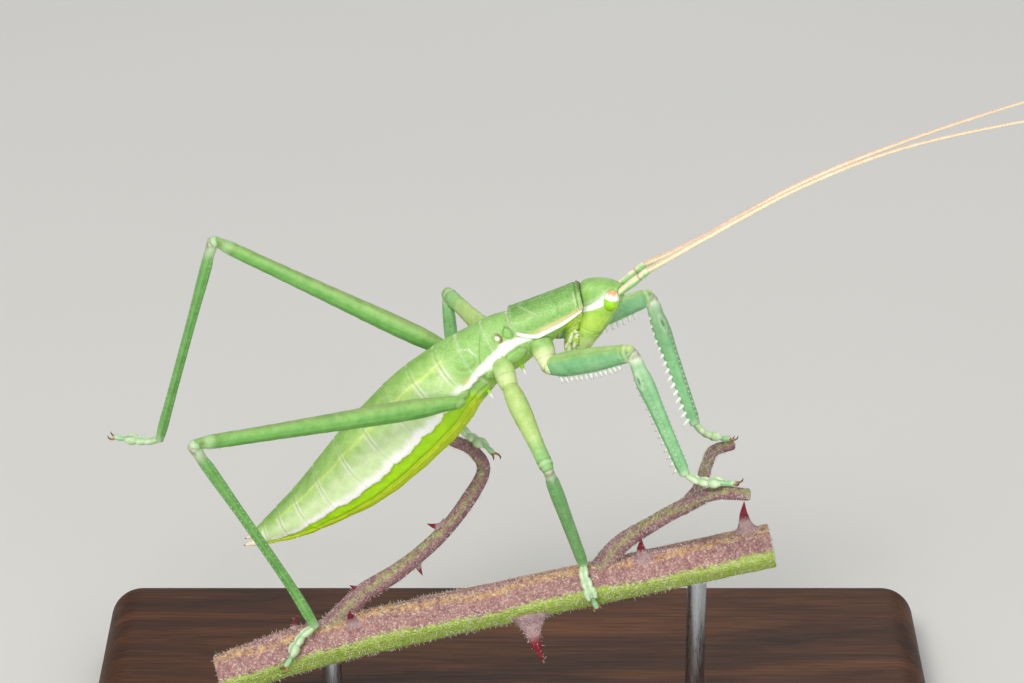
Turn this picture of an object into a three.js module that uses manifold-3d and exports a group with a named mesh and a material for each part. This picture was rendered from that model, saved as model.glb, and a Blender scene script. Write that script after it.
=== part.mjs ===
// A wingless, long horned grasshopper: a predatory bush cricket, life size, walking on a cut length
// of bramble cane with two leaf stalks. The cane is held over a flat base by two short rods.
// Millimetres, +Z up. The insect faces +X, its right side is -Y, and its middle plane is y = 0.
// The origin is the middle of the underside of the base.

import * as THREE from "three";
import { mergeVertices } from "three/addons/utils/BufferGeometryUtils.js";
import Module from "manifold-3d";

const wasm = await Module();
wasm.setup();

// ---- Driving dimensions --------------------------------------------------------------------

const gap = 0.15; // clear space between neighbouring pieces

// The body is one loft along these stations, from the tip of the abdomen to the neck. Each has its
// centre (x, z), its reach up and down across the body's slope, and its half width.
const bodyStations = [
  { x: -29.0, z: 28.3, up: 0.8, down: 0.6, wide: 0.75 },
  { x: -28.0, z: 28.9, up: 1.3, down: 1.2, wide: 1.2 },
  { x: -25.2, z: 30.7, up: 2.25, down: 2.3, wide: 2.0 },
  { x: -22.2, z: 32.9, up: 3.1, down: 3.15, wide: 2.65 },
  { x: -17.7, z: 36.7, up: 4.45, down: 4.4, wide: 3.45 },
  { x: -13.8, z: 40.7, up: 5.0, down: 4.95, wide: 3.75 },
  { x: -9.4, z: 45.5, up: 5.0, down: 5.05, wide: 3.6 },
  { x: -6.1, z: 49.1, up: 4.2, down: 4.2, wide: 3.1 },
  { x: -2.9, z: 51.7, up: 3.55, down: 3.55, wide: 2.8 },
  { x: -0.4, z: 53.3, up: 3.3, down: 3.4, wide: 2.65 },
  { x: 2.4, z: 55.0, up: 2.35, down: 2.75, wide: 2.35 },
  { x: 5.2, z: 56.7, up: 1.9, down: 2.1, wide: 1.95 },
  { x: 8.2, z: 58.0, up: 1.85, down: 1.8, wide: 1.6 },
];

// Where the body is parted, in stations counted from the tip of the abdomen.
const bodyParts = {
  abdomen: { from: 0, to: 7.35, rings: 16 },
  metathorax: { from: 7.35, to: 8.4, rings: 3 },
  mesothorax: { from: 8.4, to: 9.4, rings: 3 },
  prothorax: { from: 9.4, to: 10.9, rings: 3 },
  neck: { from: 10.9, to: 11.7, rings: 2 },
};
const bodySides = 18;
const keel = 0.16; // how much the section narrows towards its underside

// The pronotum is a saddle over the prothorax, between its hind and its front edge.
const pronotum = {
  hind: { x: 0.4, z: 55.3, rise: 1.63, wide: 2.75 },
  front: { x: 8.05, z: 58.25, rise: 1.94, wide: 2.2 },
  thickness: 0.4,
  hang: [0.35, 1.4, 1.1, 0.65], // how far the sides hang below its middle, from hind to front
};

// The head is a loft from the mouth up to the crown: the back and the front of each level, and the
// half width there.
const headLevels = [
  { z: 52.1, back: 7.5, front: 8.5, wide: 0.75 },
  { z: 52.7, back: 7.35, front: 8.95, wide: 1.15 },
  { z: 54.0, back: 7.35, front: 9.85, wide: 1.5 },
  { z: 55.3, back: 7.4, front: 10.75, wide: 1.68 },
  { z: 56.6, back: 7.5, front: 11.5, wide: 1.8 },
  { z: 57.8, back: 7.5, front: 12.1, wide: 1.85 },
  { z: 58.9, back: 7.45, front: 12.35, wide: 1.75 },
  { z: 59.7, back: 7.5, front: 12.2, wide: 1.5 },
  { z: 60.25, back: 7.85, front: 11.6, wide: 1.1 },
  { z: 60.55, back: 8.9, front: 10.8, wide: 0.55 },
];
const eye = { x: 10.93, y: 1.55, z: 58.65, long: 0.8, deep: 0.8, tall: 1.15 };
const mouth = { x: 6.35, z: 54.0, long: 0.75, wide: 1.0, tall: 1.75 };
const palps = [
  { root: [6.4, 0.75, 53.6], elbow: [6.1, 1.35, 52.4], tip: [6.9, 1.45, 51.5], half: 0.26 },
  { root: [6.0, 0.45, 53.2], elbow: [5.6, 0.75, 52.2], tip: [6.1, 0.85, 51.5], half: 0.25 },
];

// Each feeler has a stout first joint and a long whip, thinning towards its tip.
const feelers = {
  right: {
    socket: [11.85, -0.75, 59.3],
    joint: [14.05, -1.2, 61.4],
    whip: [[20.55, -1.7, 65.9], [31.2, -2.2, 72.4], [41.8, -3.0, 77.25], [54.7, -4.4, 81.0],
      [63.0, -5.6, 82.6]],
  },
  left: {
    socket: [11.75, 0.8, 59.45],
    joint: [13.7, 1.2, 61.0],
    whip: [[20.7, 1.6, 64.75], [31.55, 2.4, 70.95], [42.5, 3.6, 75.3], [56.0, 5.6, 79.3], [63.9, 7.0, 81.0]],
  },
};
const cercus = { root: [-28.5, 0.6, 28.4], tip: [-30.4, 0.85, 27.8], half: [0.42, 0.36, 0.25] };
const feelerHalf = { joint: 0.48, start: 0.36, tip: 0.25 };

// Places of the joints of each leg.
const legs = {
  front_right: {
    pair: "front",
    root: [3.25, -1.9, 53.45],
    hip: [4.1, -3.3, 51.45],
    knee: [13.0, -9.0, 55.85],
    ankle: [18.9, -11.5, 42.4],
    foot: [[20.6, -12.0, 41.7], [22.4, -12.4, 41.8], [24.3, -12.9, 42.0]],
  },
  front_left: {
    pair: "front",
    root: [3.25, 1.9, 53.6],
    hip: [4.7, 3.0, 52.9],
    knee: [15.6, 9.0, 54.4],
    ankle: [20.8, 5.0, 40.4],
    foot: [[21.9, 4.4, 39.4], [23.2, 4.2, 39.1], [24.7, 4.2, 38.9]],
  },
  mid_right: {
    pair: "mid",
    root: [-1.1, -2.2, 51.3],
    hip: [-0.35, -3.9, 49.6],
    knee: [3.9, -12.4, 43.4],
    ankle: [8.0, -4.9, 27.7],
    foot: "cane",
    around: { at: 8.3, drift: 0.9, from: 84, to: -30 },
  },
  mid_left: {
    pair: "mid",
    root: [-1.1, 2.2, 51.5],
    hip: [-0.7, 3.7, 50.3],
    knee: [-7.5, 15.5, 51.9],
    ankle: [-6.0, 9.6, 38.0],
    foot: [[-5.2, 9.3, 36.9], [-3.6, 8.4, 36.2], [-2.2, 7.5, 35.3]],
  },
  hind_right: {
    pair: "hind",
    root: [-5.1, -2.4, 48.05],
    hip: [-5.85, -3.9, 47.4],
    knee: [-34.6, -14.5, 47.4],
    shin: [-25.9, -8.5, 28.7],
    ankle: [-22.25, -7.2, 20.85],
    foot: "cane",
    around: { at: -22.0, drift: -3.5, from: 74, to: 2 },
  },
  hind_left: {
    pair: "hind",
    root: [-5.1, 2.4, 49.0],
    hip: [-6.0, 4.6, 49.2],
    knee: [-33.8, 11.6, 60.2],
    ankle: [-41.5, 17.5, 32.1],
    foot: [[-43.3, 18.1, 31.6], [-45.0, 18.7, 31.6], [-46.9, 19.4, 31.5]],
  },
};

const footLift = 0.72; // how far a foot's middle line stays off the cane's surface
const claw = { length: 0.85, half: 0.2, spread: 0.7 };

// Half heights along each segment, from its root to its end, and how wide it is to its height.
const limbSizes = {
  front: {
    coxa: { half: [1.15, 1.2, 0.9], slim: 1 },
    femur: { half: [0.9, 1.35, 1.4, 1.4, 1.35, 1.25, 1.15, 0.85], slim: 0.8 },
    tibia: { half: [0.75, 1.0, 1.0, 0.88, 0.82, 0.75, 0.65], slim: 0.85 },
    tarsus: { half: [0.35, 0.5, 0.42, 0.55, 0.35, 0.3], slim: 1.1 },
  },
  mid: {
    coxa: { half: [1.1, 1.25, 1.1], slim: 1 },
    femur: { half: [1.0, 1.2, 1.25, 1.15, 1.05, 0.95, 0.9, 0.7], slim: 1 },
    tibia: { half: [0.65, 0.8, 0.78, 0.72, 0.68, 0.65, 0.55], slim: 0.95 },
    tarsus: { half: [0.35, 0.5, 0.42, 0.6, 0.35, 0.3], slim: 1.1 },
  },
  hind: {
    coxa: { half: [0.9, 1.0, 0.85], slim: 1 },
    femur: { half: [0.85, 1.15, 1.2, 1.15, 1.05, 1.0, 0.92, 0.88, 0.9, 0.75], slim: 0.8 },
    tibia: { half: [0.55, 0.62, 0.54, 0.52, 0.52, 0.52, 0.52, 0.54, 0.45], slim: 0.9 },
    tarsus: { half: [0.35, 0.5, 0.42, 0.6, 0.35, 0.3], slim: 1.1 },
  },
};

// Rows of teeth under the front legs: those of the tibia grow longer towards the foot.
const toothRoot = 0.25; // how deep each tooth is rooted in its limb
const teeth = {
  femur: { count: 12, from: 0.12, to: 0.8, short: 0.42, long: 0.45, half: 0.21 },
  tibia: { count: 13, from: 0.13, to: 0.93, short: 0.3, long: 0.8, half: 0.24 },
};

// The cane runs up and forward. Two leaf stalks spring from it, and the front one forks; they end
// under the feet that are off the cane.
const cane = {
  route: [[-33.1, -6.4, 13.9], [-24.1, -5.7, 17.1], [-12.8, -5.0, 19.9], [5.5, -4.0, 23.8],
    [29.4, -3.0, 29.0]],
  half: 2.5,
};
const leafStalks = {
  leaf_stalk_hind: {
    route: [[-20.4, -5.3, 19.3], [-17.3, -4.0, 23.0], [-12.7, -2, 25.3], [-8.2, 2.0, 27.6],
      [-5.1, 5.2, 30.4], [-3.3, 7.4, 33.2], [-4.6, 8.9, 35.0], [-7.0, 10.0, 35.8]],
    half: [1.6, 1.15, 0.95, 0.85, 0.85, 0.8, 0.75, 0.6],
  },
  leaf_stalk_front: {
    route: [[9.5, -3.9, 25.4], [12.0, -4.0, 29.4], [16.2, -5.6, 33.4], [19.6, -8.0, 36.8],
      [22.3, -11.4, 39.9], [25.8, -13.6, 40.9]],
    half: [1.3, 1.05, 0.85, 0.85, 0.75, 0.6],
  },
  leaf_stalk_fork: {
    route: [[19.0, -7.6, 36.0], [21.0, -4.5, 37.2], [22.0, 0.0, 37.6], [23.0, 4.0, 37.4], [25.2, 5.2, 37.6]],
    half: [0.7, 0.68, 0.65, 0.65, 0.6],
  },
};
// Prickles of the cane: distance along it from its low end, angle round it (0 towards -Y, 90 up).
const canePrickles = [
  { along: 36.0, angle: -62, length: 5.2, half: 1.1 },
  { along: 16.4, angle: 62, length: 2.4, half: 0.6 },
  { along: 50.0, angle: 70, length: 3.2, half: 0.7 },
  { along: 62.0, angle: 96, length: 3.4, half: 0.8 },
  { along: 53.0, angle: 210, length: 3.4, half: 0.8 },
  { along: 9.0, angle: 165, length: 3.0, half: 0.7 },
];
// Prickles of the hind stalk: share of its length, and the direction each points in.
const stalkPrickles = [
  { share: 0.46, toward: [-0.9, -0.3, 0.3], length: 1.9, half: 0.45 },
  { share: 0.34, toward: [0.3, -0.3, -0.9], length: 1.5, half: 0.4 },
  { share: 0.17, toward: [-0.9, -0.2, 0.4], length: 1.4, half: 0.4 },
];

const prickleRoot = 0.5; // how deep a prickle is rooted in the cane
const prickleLean = 0.03; // how far a prickle of the cane leans towards the cane's tip

const base = { long: 98, wide: 56, tall: 8, corner: 3, bevel: 0.8 };
const rod = { half: 1.1, sunk: 4, xHind: -20.5, xFront: 21.0 };

// ---- Materials -----------------------------------------------------------------------------

function surface(color, roughness, metalness = 0) {
  return () => new THREE.MeshStandardMaterial({ color, roughness, metalness });
}

const finishes = {
  bodyGreen: surface(0x9cc468, 0.45),
  plateGreen: surface(0x8fbd63, 0.4),
  legGreen: surface(0x7fb98a, 0.4),
  paleGreen: surface(0xc6dd7a, 0.5),
  eyeGreen: surface(0xa6dd2a, 0.15),
  cream: surface(0xe6d3b4, 0.5),
  bark: surface(0xa58a6e, 0.75),
  stalk: surface(0x9a7468, 0.75),
  walnut: surface(0x4a3222, 0.4),
  steel: surface(0xb9bcc0, 0.3, 1),
};

// ---- Making and cutting solids -------------------------------------------------------------

function vector(place) {
  return new THREE.Vector3(...place);
}

function closedMesh(geometry) {
  const bare = geometry.index ? geometry.toNonIndexed() : geometry.clone();
  bare.deleteAttribute("normal");
  bare.deleteAttribute("uv");
  return mergeVertices(bare, 1e-5);
}

function toSolid(geometry) {
  const closed = closedMesh(geometry);
  return new wasm.Manifold(new wasm.Mesh({
    numProp: 3,
    vertProperties: new Float32Array(closed.attributes.position.array),
    triVerts: new Uint32Array(closed.index.array),
  }));
}

// The largest piece of a solid, as a geometry: a cut may leave crumbs.
function toGeometry(solid) {
  const pieces = solid.decompose().sort((a, b) => b.volume() - a.volume());
  const mesh = pieces[0].getMesh();
  const geometry = new THREE.BufferGeometry();
  geometry.setAttribute("position", new THREE.BufferAttribute(mesh.vertProperties, 3));
  geometry.setIndex(new THREE.BufferAttribute(mesh.triVerts, 1));
  const flat = geometry.toNonIndexed();
  flat.computeVertexNormals();
  return flat;
}

function join(...solids) {
  return solids.reduce((whole, solid) => whole.add(solid));
}

function cut(solid, ...cutters) {
  return cutters.reduce((rest, cutter) => rest.subtract(cutter), solid);
}

// A value part of the way along a list of evenly spaced values.
function blend(values, share) {
  const place = Math.min(Math.max(share, 0), 1) * (values.length - 1);
  const index = Math.min(Math.floor(place), values.length - 2);
  return THREE.MathUtils.lerp(values[index], values[index + 1], place - index);
}

// Moves each vertex of a unit cylinder to its place round a path. The shape function gives, for a
// share of the length and the vertex's two cross coordinates, the point in space.
function lofted(sides, rings, shape) {
  const geometry = closedMesh(new THREE.CylinderGeometry(1, 1, 1, sides, rings));
  const position = geometry.attributes.position;
  for (let i = 0; i < position.count; i += 1) {
    const share = Math.min(Math.max(position.getY(i) + 0.5, 0), 1);
    const point = shape(share, position.getX(i), position.getZ(i));
    position.setXYZ(i, point.x, point.y, point.z);
  }
  return geometry;
}

// A limb: a tube of changing thickness along a path, with its cross section's flat way along the
// hinge direction. Each end is drawn in over one more ring, by the limb end's length and taper.
const limbEnd = 0.45;

function limb({ path, half, slim = 1, hinge = [0, 1, 0], sides = 8, rings = 6, grow = 0 }) {
  const curve = path.length > 2 ? new THREE.CatmullRomCurve3(path.map(vector))
    : new THREE.LineCurve3(vector(path[0]), vector(path[1]));
  const length = curve.getLength();
  const across = vector(hinge).normalize();
  return lofted(sides, rings + 2, (share, a, b) => {
    const step = share * (rings + 2);
    const inner = THREE.MathUtils.clamp((step - 1) / rings, 0, 1);
    const overhang = step < 1 ? -(1 - step) : Math.max(step - rings - 1, 0);
    const thickness = blend(half, inner) + grow;
    const end = Math.abs(overhang);
    const tangent = curve.getTangentAt(inner);
    const up = across.clone().cross(tangent).normalize();
    const side = tangent.clone().cross(up);
    const point = curve.getPointAt(inner);
    point.addScaledVector(tangent, overhang * (Math.min(thickness, length) * limbEnd + grow));
    const taper = 1 - limbEnd * end;
    point.addScaledVector(side, a * thickness * slim * taper);
    point.addScaledVector(up, b * thickness * taper);
    return point;
  });
}

// A pointed prickle or tooth standing on a surface.
function spike(foot, toward, length, half, sides = 5) {
  const direction = vector(toward).normalize();
  const cone = new THREE.ConeGeometry(half, length, sides);
  cone.applyQuaternion(new THREE.Quaternion().setFromUnitVectors(new THREE.Vector3(0, 1, 0), direction));
  const middle = vector(foot).addScaledVector(direction, length / 2);
  cone.translate(middle.x, middle.y, middle.z);
  return toSolid(cone);
}

// ---- Body ----------------------------------------------------------------------------------

const bodyLine = new THREE.CatmullRomCurve3(bodyStations.map((s) => new THREE.Vector3(s.x, 0, s.z)));
const bodyReach = new THREE.CatmullRomCurve3(
  bodyStations.map((s) => new THREE.Vector3(s.up, s.down, s.wide)),
);

function bodyPoint(station, a, b, grow) {
  const share = station / (bodyStations.length - 1);
  const centre = bodyLine.getPoint(share);
  const tangent = bodyLine.getTangent(share);
  const reach = bodyReach.getPoint(share);
  const across = new THREE.Vector3(0, 1, 0);
  const up = across.clone().cross(tangent).normalize().negate();
  const narrowed = b < 0 ? 1 - keel * b * b : 1;
  centre.addScaledVector(across, a * (reach.z + grow) * narrowed);
  centre.addScaledVector(up, b * ((b > 0 ? reach.x : reach.y) + grow));
  return centre;
}

function bodySection({ from, to, rings }, grow = 0) {
  const length = bodyLine.getLength() / (bodyStations.length - 1);
  const inset = from > 0 ? gap / 2 / length : 0;
  const start = from + inset;
  const end = to - gap / 2 / length;
  return lofted(bodySides, rings, (share, a, b) => {
    const station = THREE.MathUtils.lerp(start, end, share);
    return bodyPoint(station, -a, b, grow);
  });
}

function saddle(grow = 0) {
  const { hind, front, thickness, hang } = pronotum;
  const across = 12;
  const arched = 1 - 2 / across; // the share of each half that is arched; the rest hangs straight
  const box = closedMesh(new THREE.BoxGeometry(1, 1, 1, across, 1, hang.length - 1));
  const position = box.attributes.position;
  const along = new THREE.Vector3(front.x - hind.x, 0, front.z - hind.z);
  const length = along.length();
  along.normalize();
  const up = new THREE.Vector3(-along.z, 0, along.x);
  for (let i = 0; i < position.count; i += 1) {
    const lengthShare = 0.5 + position.getZ(i);
    const side = 2 * position.getX(i);
    const angle = THREE.MathUtils.clamp(side / arched, -1, 1) * Math.PI / 2;
    const hanging = Math.max(Math.abs(side) - arched, 0) / (1 - arched);
    const outward = position.getY(i) * (thickness + 2 * grow);
    const rise = THREE.MathUtils.lerp(hind.rise, front.rise, lengthShare) + outward;
    const wide = THREE.MathUtils.lerp(hind.wide, front.wide, lengthShare) + outward;
    const point = new THREE.Vector3(hind.x, 0, hind.z);
    point.addScaledVector(along, lengthShare * length + (lengthShare - 0.5) * 2 * grow);
    point.addScaledVector(up, Math.cos(angle) * rise - hanging * (blend(hang, lengthShare) + grow));
    point.y += Math.sin(angle) * wide;
    position.setXYZ(i, point.x, point.y, point.z);
  }
  return box;
}

// ---- Head ----------------------------------------------------------------------------------

function headShell(grow = 0) {
  const places = new THREE.CatmullRomCurve3(headLevels.map((l) => new THREE.Vector3(l.back, l.front, l.z)));
  const widths = new THREE.CatmullRomCurve3(headLevels.map((l) => new THREE.Vector3(l.wide, 0, l.z)));
  return lofted(14, 11, (share, a, b) => {
    const place = places.getPoint(share);
    const middle = (place.x + place.y) / 2;
    const reach = (place.y - place.x) / 2 + grow;
    const wide = widths.getPoint(share).x + grow;
    const level = place.z + (share === 0 ? -grow : 0) + (share === 1 ? grow : 0);
    return new THREE.Vector3(middle + b * reach, a * wide, level);
  });
}

function ball(centre, radii, grow = 0, across = 9, down = 6) {
  const geometry = new THREE.SphereGeometry(1, across, down);
  geometry.rotateX(Math.PI / 2);
  geometry.scale(radii[0] + grow, radii[1] + grow, radii[2] + grow);
  geometry.translate(...centre);
  return toSolid(geometry);
}

function eyeBall(side, grow = 0) {
  return ball([eye.x, side * eye.y, eye.z], [eye.long, eye.deep, eye.tall], grow, 12, 8);
}

function mouthSolid(grow = 0) {
  const jaws = ball([mouth.x, 0, mouth.z], [mouth.long, mouth.wide, mouth.tall], grow);
  const feelersOfMouth = palps.flatMap(({ root, elbow, tip, half }) => [-1, 1].map((side) => {
    const path = [root, elbow, tip].map(([x, y, z]) => [x, side * y, z]);
    const hinge = [0.3, side, 0];
    return toSolid(limb({ path, half: [half, half], hinge, sides: 5, rings: 2, grow }));
  }));
  return join(jaws, ...feelersOfMouth);
}

function feelerJoint(side, grow = 0) {
  const { socket, joint } = feelers[side];
  const half = [feelerHalf.joint * 0.8, feelerHalf.joint, feelerHalf.joint];
  return toSolid(limb({ path: [socket, joint], half, sides: 7, rings: 2, grow }));
}

function feelerWhip(side) {
  const { socket, joint, whip } = feelers[side];
  const forward = vector(joint).sub(vector(socket)).normalize();
  const start = vector(joint).addScaledVector(forward, feelerHalf.joint);
  const path = [start.toArray(), ...whip];
  return toSolid(limb({ path, half: [feelerHalf.start, feelerHalf.tip], sides: 6, rings: 18 }));
}

// ---- Perch ---------------------------------------------------------------------------------

const caneLine = new THREE.CatmullRomCurve3(cane.route.map(vector));

function caneSolid(grow = 0) {
  const half = [cane.half * 0.98, cane.half, cane.half * 0.97, cane.half * 0.95];
  const tube = lofted(14, 8, (share, a, b) => {
    const tangent = caneLine.getTangentAt(share);
    const up = new THREE.Vector3(0, 1, 0).cross(tangent).normalize();
    const side = tangent.clone().cross(up);
    const point = caneLine.getPointAt(share);
    const thickness = blend(half, share) + grow;
    point.addScaledVector(side, a * thickness);
    return point.addScaledVector(up, b * thickness);
  });
  return toSolid(tube);
}

// The share of the cane's length at which it passes a given x.
function caneShare(x) {
  let [low, high] = [0, 1];
  while (high - low > 1e-4) {
    const middle = (low + high) / 2;
    if (caneLine.getPointAt(middle).x < x) {
      low = middle;
    } else {
      high = middle;
    }
  }
  return low;
}

// A point beside the cane: a distance from its axis, at an angle round it from -Y up over the top.
function besideCane(share, degrees, distance) {
  const tangent = caneLine.getTangentAt(share);
  const front = new THREE.Vector3(0, -1, 0);
  const up = front.clone().cross(tangent).normalize();
  if (up.z < 0) up.negate();
  const angle = THREE.MathUtils.degToRad(degrees);
  return caneLine.getPointAt(share)
    .addScaledVector(front, Math.cos(angle) * distance)
    .addScaledVector(up, Math.sin(angle) * distance);
}

function canePrickle({ along, angle, length, half }) {
  const share = along / caneLine.getLength();
  const foot = besideCane(share, angle, cane.half - prickleRoot);
  const toward = besideCane(share, angle, cane.half).sub(foot).normalize();
  toward.addScaledVector(caneLine.getTangentAt(share), prickleLean);
  return spike(foot.toArray(), toward.toArray(), length + prickleRoot, half, 6);
}

function stalkSolid({ route, half }, grow = 0) {
  const rings = 2 * (route.length - 1);
  return toSolid(limb({ path: route, half, hinge: [0.3, -1, 0], sides: 6, rings, grow }));
}

function stalkPrickle({ share, toward, length, half }) {
  const curve = new THREE.CatmullRomCurve3(leafStalks.leaf_stalk_hind.route.map(vector));
  const foot = curve.getPointAt(share).addScaledVector(vector(toward).normalize(), prickleRoot);
  return spike(foot.toArray(), toward, length, half);
}

// ---- Legs ----------------------------------------------------------------------------------

// The way a leg's knee hinges: across the plane of its femur and tibia.
function hingeOf({ hip, knee, ankle }) {
  const femur = vector(knee).sub(vector(hip));
  const tibia = vector(ankle).sub(vector(knee));
  return femur.cross(tibia).normalize();
}

function footPath(leg) {
  if (leg.foot !== "cane") {
    return [leg.ankle, ...leg.foot];
  }
  const { at, drift, from, to } = leg.around;
  return [0, 0.25, 0.5, 0.75, 1].map((share) => {
    const angle = THREE.MathUtils.lerp(from, to, share);
    return besideCane(caneShare(at + drift * share), angle, cane.half + footLift).toArray();
  });
}

function segment(leg, name, grow = 0) {
  const { half, slim } = limbSizes[leg.pair][name];
  const paths = {
    coxa: [leg.root, leg.hip],
    femur: [leg.hip, leg.knee],
    tibia: leg.shin ? [leg.knee, leg.shin, leg.ankle] : [leg.knee, leg.ankle],
    tarsus: footPath(leg),
  };
  const detail = { coxa: [7, 2], femur: [8, 6], tibia: [8, 5], tarsus: [6, 5] };
  const [sides, rings] = detail[name];
  return toSolid(limb({ path: paths[name], half, slim, hinge: hingeOf(leg).toArray(), sides, rings, grow }));
}

// Teeth stand along the inner side of the bend of a front leg.
function teethOf(leg, name) {
  const hinge = hingeOf(leg);
  const [start, end] = name === "femur" ? [leg.hip, leg.knee] : [leg.knee, leg.ankle];
  const along = vector(end).sub(vector(start));
  const inward = hinge.clone().cross(along).normalize();
  const { count, from, to, short, long, half } = teeth[name];
  const solids = [];
  for (let i = 0; i < count; i += 1) {
    const share = THREE.MathUtils.lerp(from, to, i / (count - 1));
    const length = THREE.MathUtils.lerp(short, long, i / (count - 1));
    const thickness = blend(limbSizes.front[name].half, share);
    const foot = vector(start).addScaledVector(along, share).addScaledVector(inward, thickness - toothRoot);
    solids.push(spike(foot.toArray(), inward.toArray(), length + toothRoot, half, 3));
  }
  return solids;
}

function clawsOf(leg) {
  const path = footPath(leg);
  const tip = vector(path[path.length - 1]);
  const along = tip.clone().sub(vector(path[path.length - 2])).normalize();
  const hinge = hingeOf(leg);
  return [-1, 1].map((side) => {
    const toward = along.clone().addScaledVector(hinge, side * claw.spread);
    return spike(tip.toArray(), toward.toArray(), claw.length, claw.half, 4);
  });
}

// ---- Stand ---------------------------------------------------------------------------------

function baseSolid() {
  const { long, wide, tall, corner, bevel } = base;
  const outline = new THREE.Shape();
  const [x, y] = [long / 2 - bevel - corner, wide / 2 - bevel - corner];
  outline.absarc(x, y, corner, 0, Math.PI / 2);
  outline.absarc(-x, y, corner, Math.PI / 2, Math.PI);
  outline.absarc(-x, -y, corner, Math.PI, 1.5 * Math.PI);
  outline.absarc(x, -y, corner, 1.5 * Math.PI, 2 * Math.PI);
  outline.closePath();
  const slab = new THREE.ExtrudeGeometry(outline, {
    depth: tall - 2 * bevel,
    bevelThickness: bevel,
    bevelSize: bevel,
    bevelSegments: 1,
    curveSegments: 2,
  });
  slab.translate(0, 0, bevel);
  return toSolid(slab);
}

function rodSolid(x, grow = 0) {
  const top = caneLine.getPointAt(caneShare(x));
  const low = base.tall - rod.sunk;
  const bar = new THREE.CylinderGeometry(rod.half + grow, rod.half + grow, top.z - low + grow, 12);
  bar.rotateX(Math.PI / 2);
  bar.translate(top.x, top.y, (top.z + low - grow) / 2);
  return toSolid(bar);
}

// ---- Putting it together -------------------------------------------------------------------

const model = new THREE.Group();

function place(name, solid, finish) {
  const mesh = new THREE.Mesh(toGeometry(solid), finishes[finish]());
  mesh.name = name;
  model.add(mesh);
  return solid;
}

const saddleCutter = toSolid(saddle(gap));
const headCutter = toSolid(headShell(gap));

place("pronotum", toSolid(saddle()), "plateGreen");
place("abdomen", toSolid(bodySection(bodyParts.abdomen)), "bodyGreen");
place("metathorax", toSolid(bodySection(bodyParts.metathorax)), "bodyGreen");
place("mesothorax", cut(toSolid(bodySection(bodyParts.mesothorax)), saddleCutter), "bodyGreen");
place("prothorax", cut(toSolid(bodySection(bodyParts.prothorax)), saddleCutter), "paleGreen");
place("neck", cut(toSolid(bodySection(bodyParts.neck)), saddleCutter, headCutter), "paleGreen");

const trunkCutters = Object.values(bodyParts).map((part) => toSolid(bodySection(part, gap)));

const eyeSides = { right: -1, left: 1 };
const headParts = Object.entries(eyeSides).flatMap(([name, side]) => {
  return [eyeBall(side, gap), feelerJoint(name, gap)];
});
place("head", cut(toSolid(headShell()), saddleCutter, ...headParts), "bodyGreen");
place("mouthparts", cut(mouthSolid(), headCutter, ...trunkCutters), "paleGreen");
Object.entries(eyeSides).forEach(([name, side]) => {
  place(`eye_${name}`, eyeBall(side), "eyeGreen");
  place(`antenna_joint_${name}`, feelerJoint(name), "cream");
  place(`antenna_${name}`, cut(feelerWhip(name), feelerJoint(name, gap)), "cream");
});

Object.entries(eyeSides).forEach(([name, side]) => {
  const path = [cercus.root, cercus.tip].map(([x, y, z]) => [x, side * y, z]);
  const cone = toSolid(limb({ path, half: cercus.half, sides: 6, rings: 2 }));
  place(`cercus_${name}`, cut(cone, trunkCutters[0]), "cream");
});

const caneCutter = caneSolid(gap);
const stalkCutters = Object.values(leafStalks).map((stalk) => stalkSolid(stalk, gap));
const hindStalk = join(stalkSolid(leafStalks.leaf_stalk_hind), ...stalkPrickles.map(stalkPrickle));
place("cane", join(caneSolid(), ...canePrickles.map(canePrickle)), "bark");
place("leaf_stalk_hind", cut(hindStalk, caneCutter), "stalk");
place("leaf_stalk_front", cut(stalkSolid(leafStalks.leaf_stalk_front), caneCutter), "stalk");
place("leaf_stalk_fork", cut(stalkSolid(leafStalks.leaf_stalk_fork), stalkCutters[1]), "stalk");

place("stand_rod_hind", cut(rodSolid(rod.xHind), caneCutter), "steel");
place("stand_rod_front", cut(rodSolid(rod.xFront), caneCutter), "steel");
place("stand_base", cut(baseSolid(), rodSolid(rod.xHind, gap), rodSolid(rod.xFront, gap)), "walnut");

Object.entries(legs).forEach(([name, leg]) => {
  const toothed = leg.pair === "front";
  const femur = join(segment(leg, "femur"), ...(toothed ? teethOf(leg, "femur") : []));
  const tibia = join(segment(leg, "tibia"), ...(toothed ? teethOf(leg, "tibia") : []));
  const tarsus = join(segment(leg, "tarsus"), ...clawsOf(leg));
  place(`coxa_${name}`, cut(segment(leg, "coxa"), saddleCutter, ...trunkCutters), "paleGreen");
  place(`femur_${name}`, cut(femur, segment(leg, "coxa", gap), saddleCutter, ...trunkCutters), "legGreen");
  place(`tibia_${name}`, cut(tibia, segment(leg, "femur", gap), caneCutter, ...stalkCutters), "legGreen");
  place(`tarsus_${name}`, cut(tarsus, segment(leg, "tibia", gap), caneCutter, ...stalkCutters), "legGreen");
});

export default model;
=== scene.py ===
# A wingless long horned grasshopper on a cut bramble cane: its looks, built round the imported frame.
# Everything is worked out in millimetres and scaled by mm into Blender's metres.
import math
import bpy
import numpy as np
from mathutils import Matrix, Vector


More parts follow.
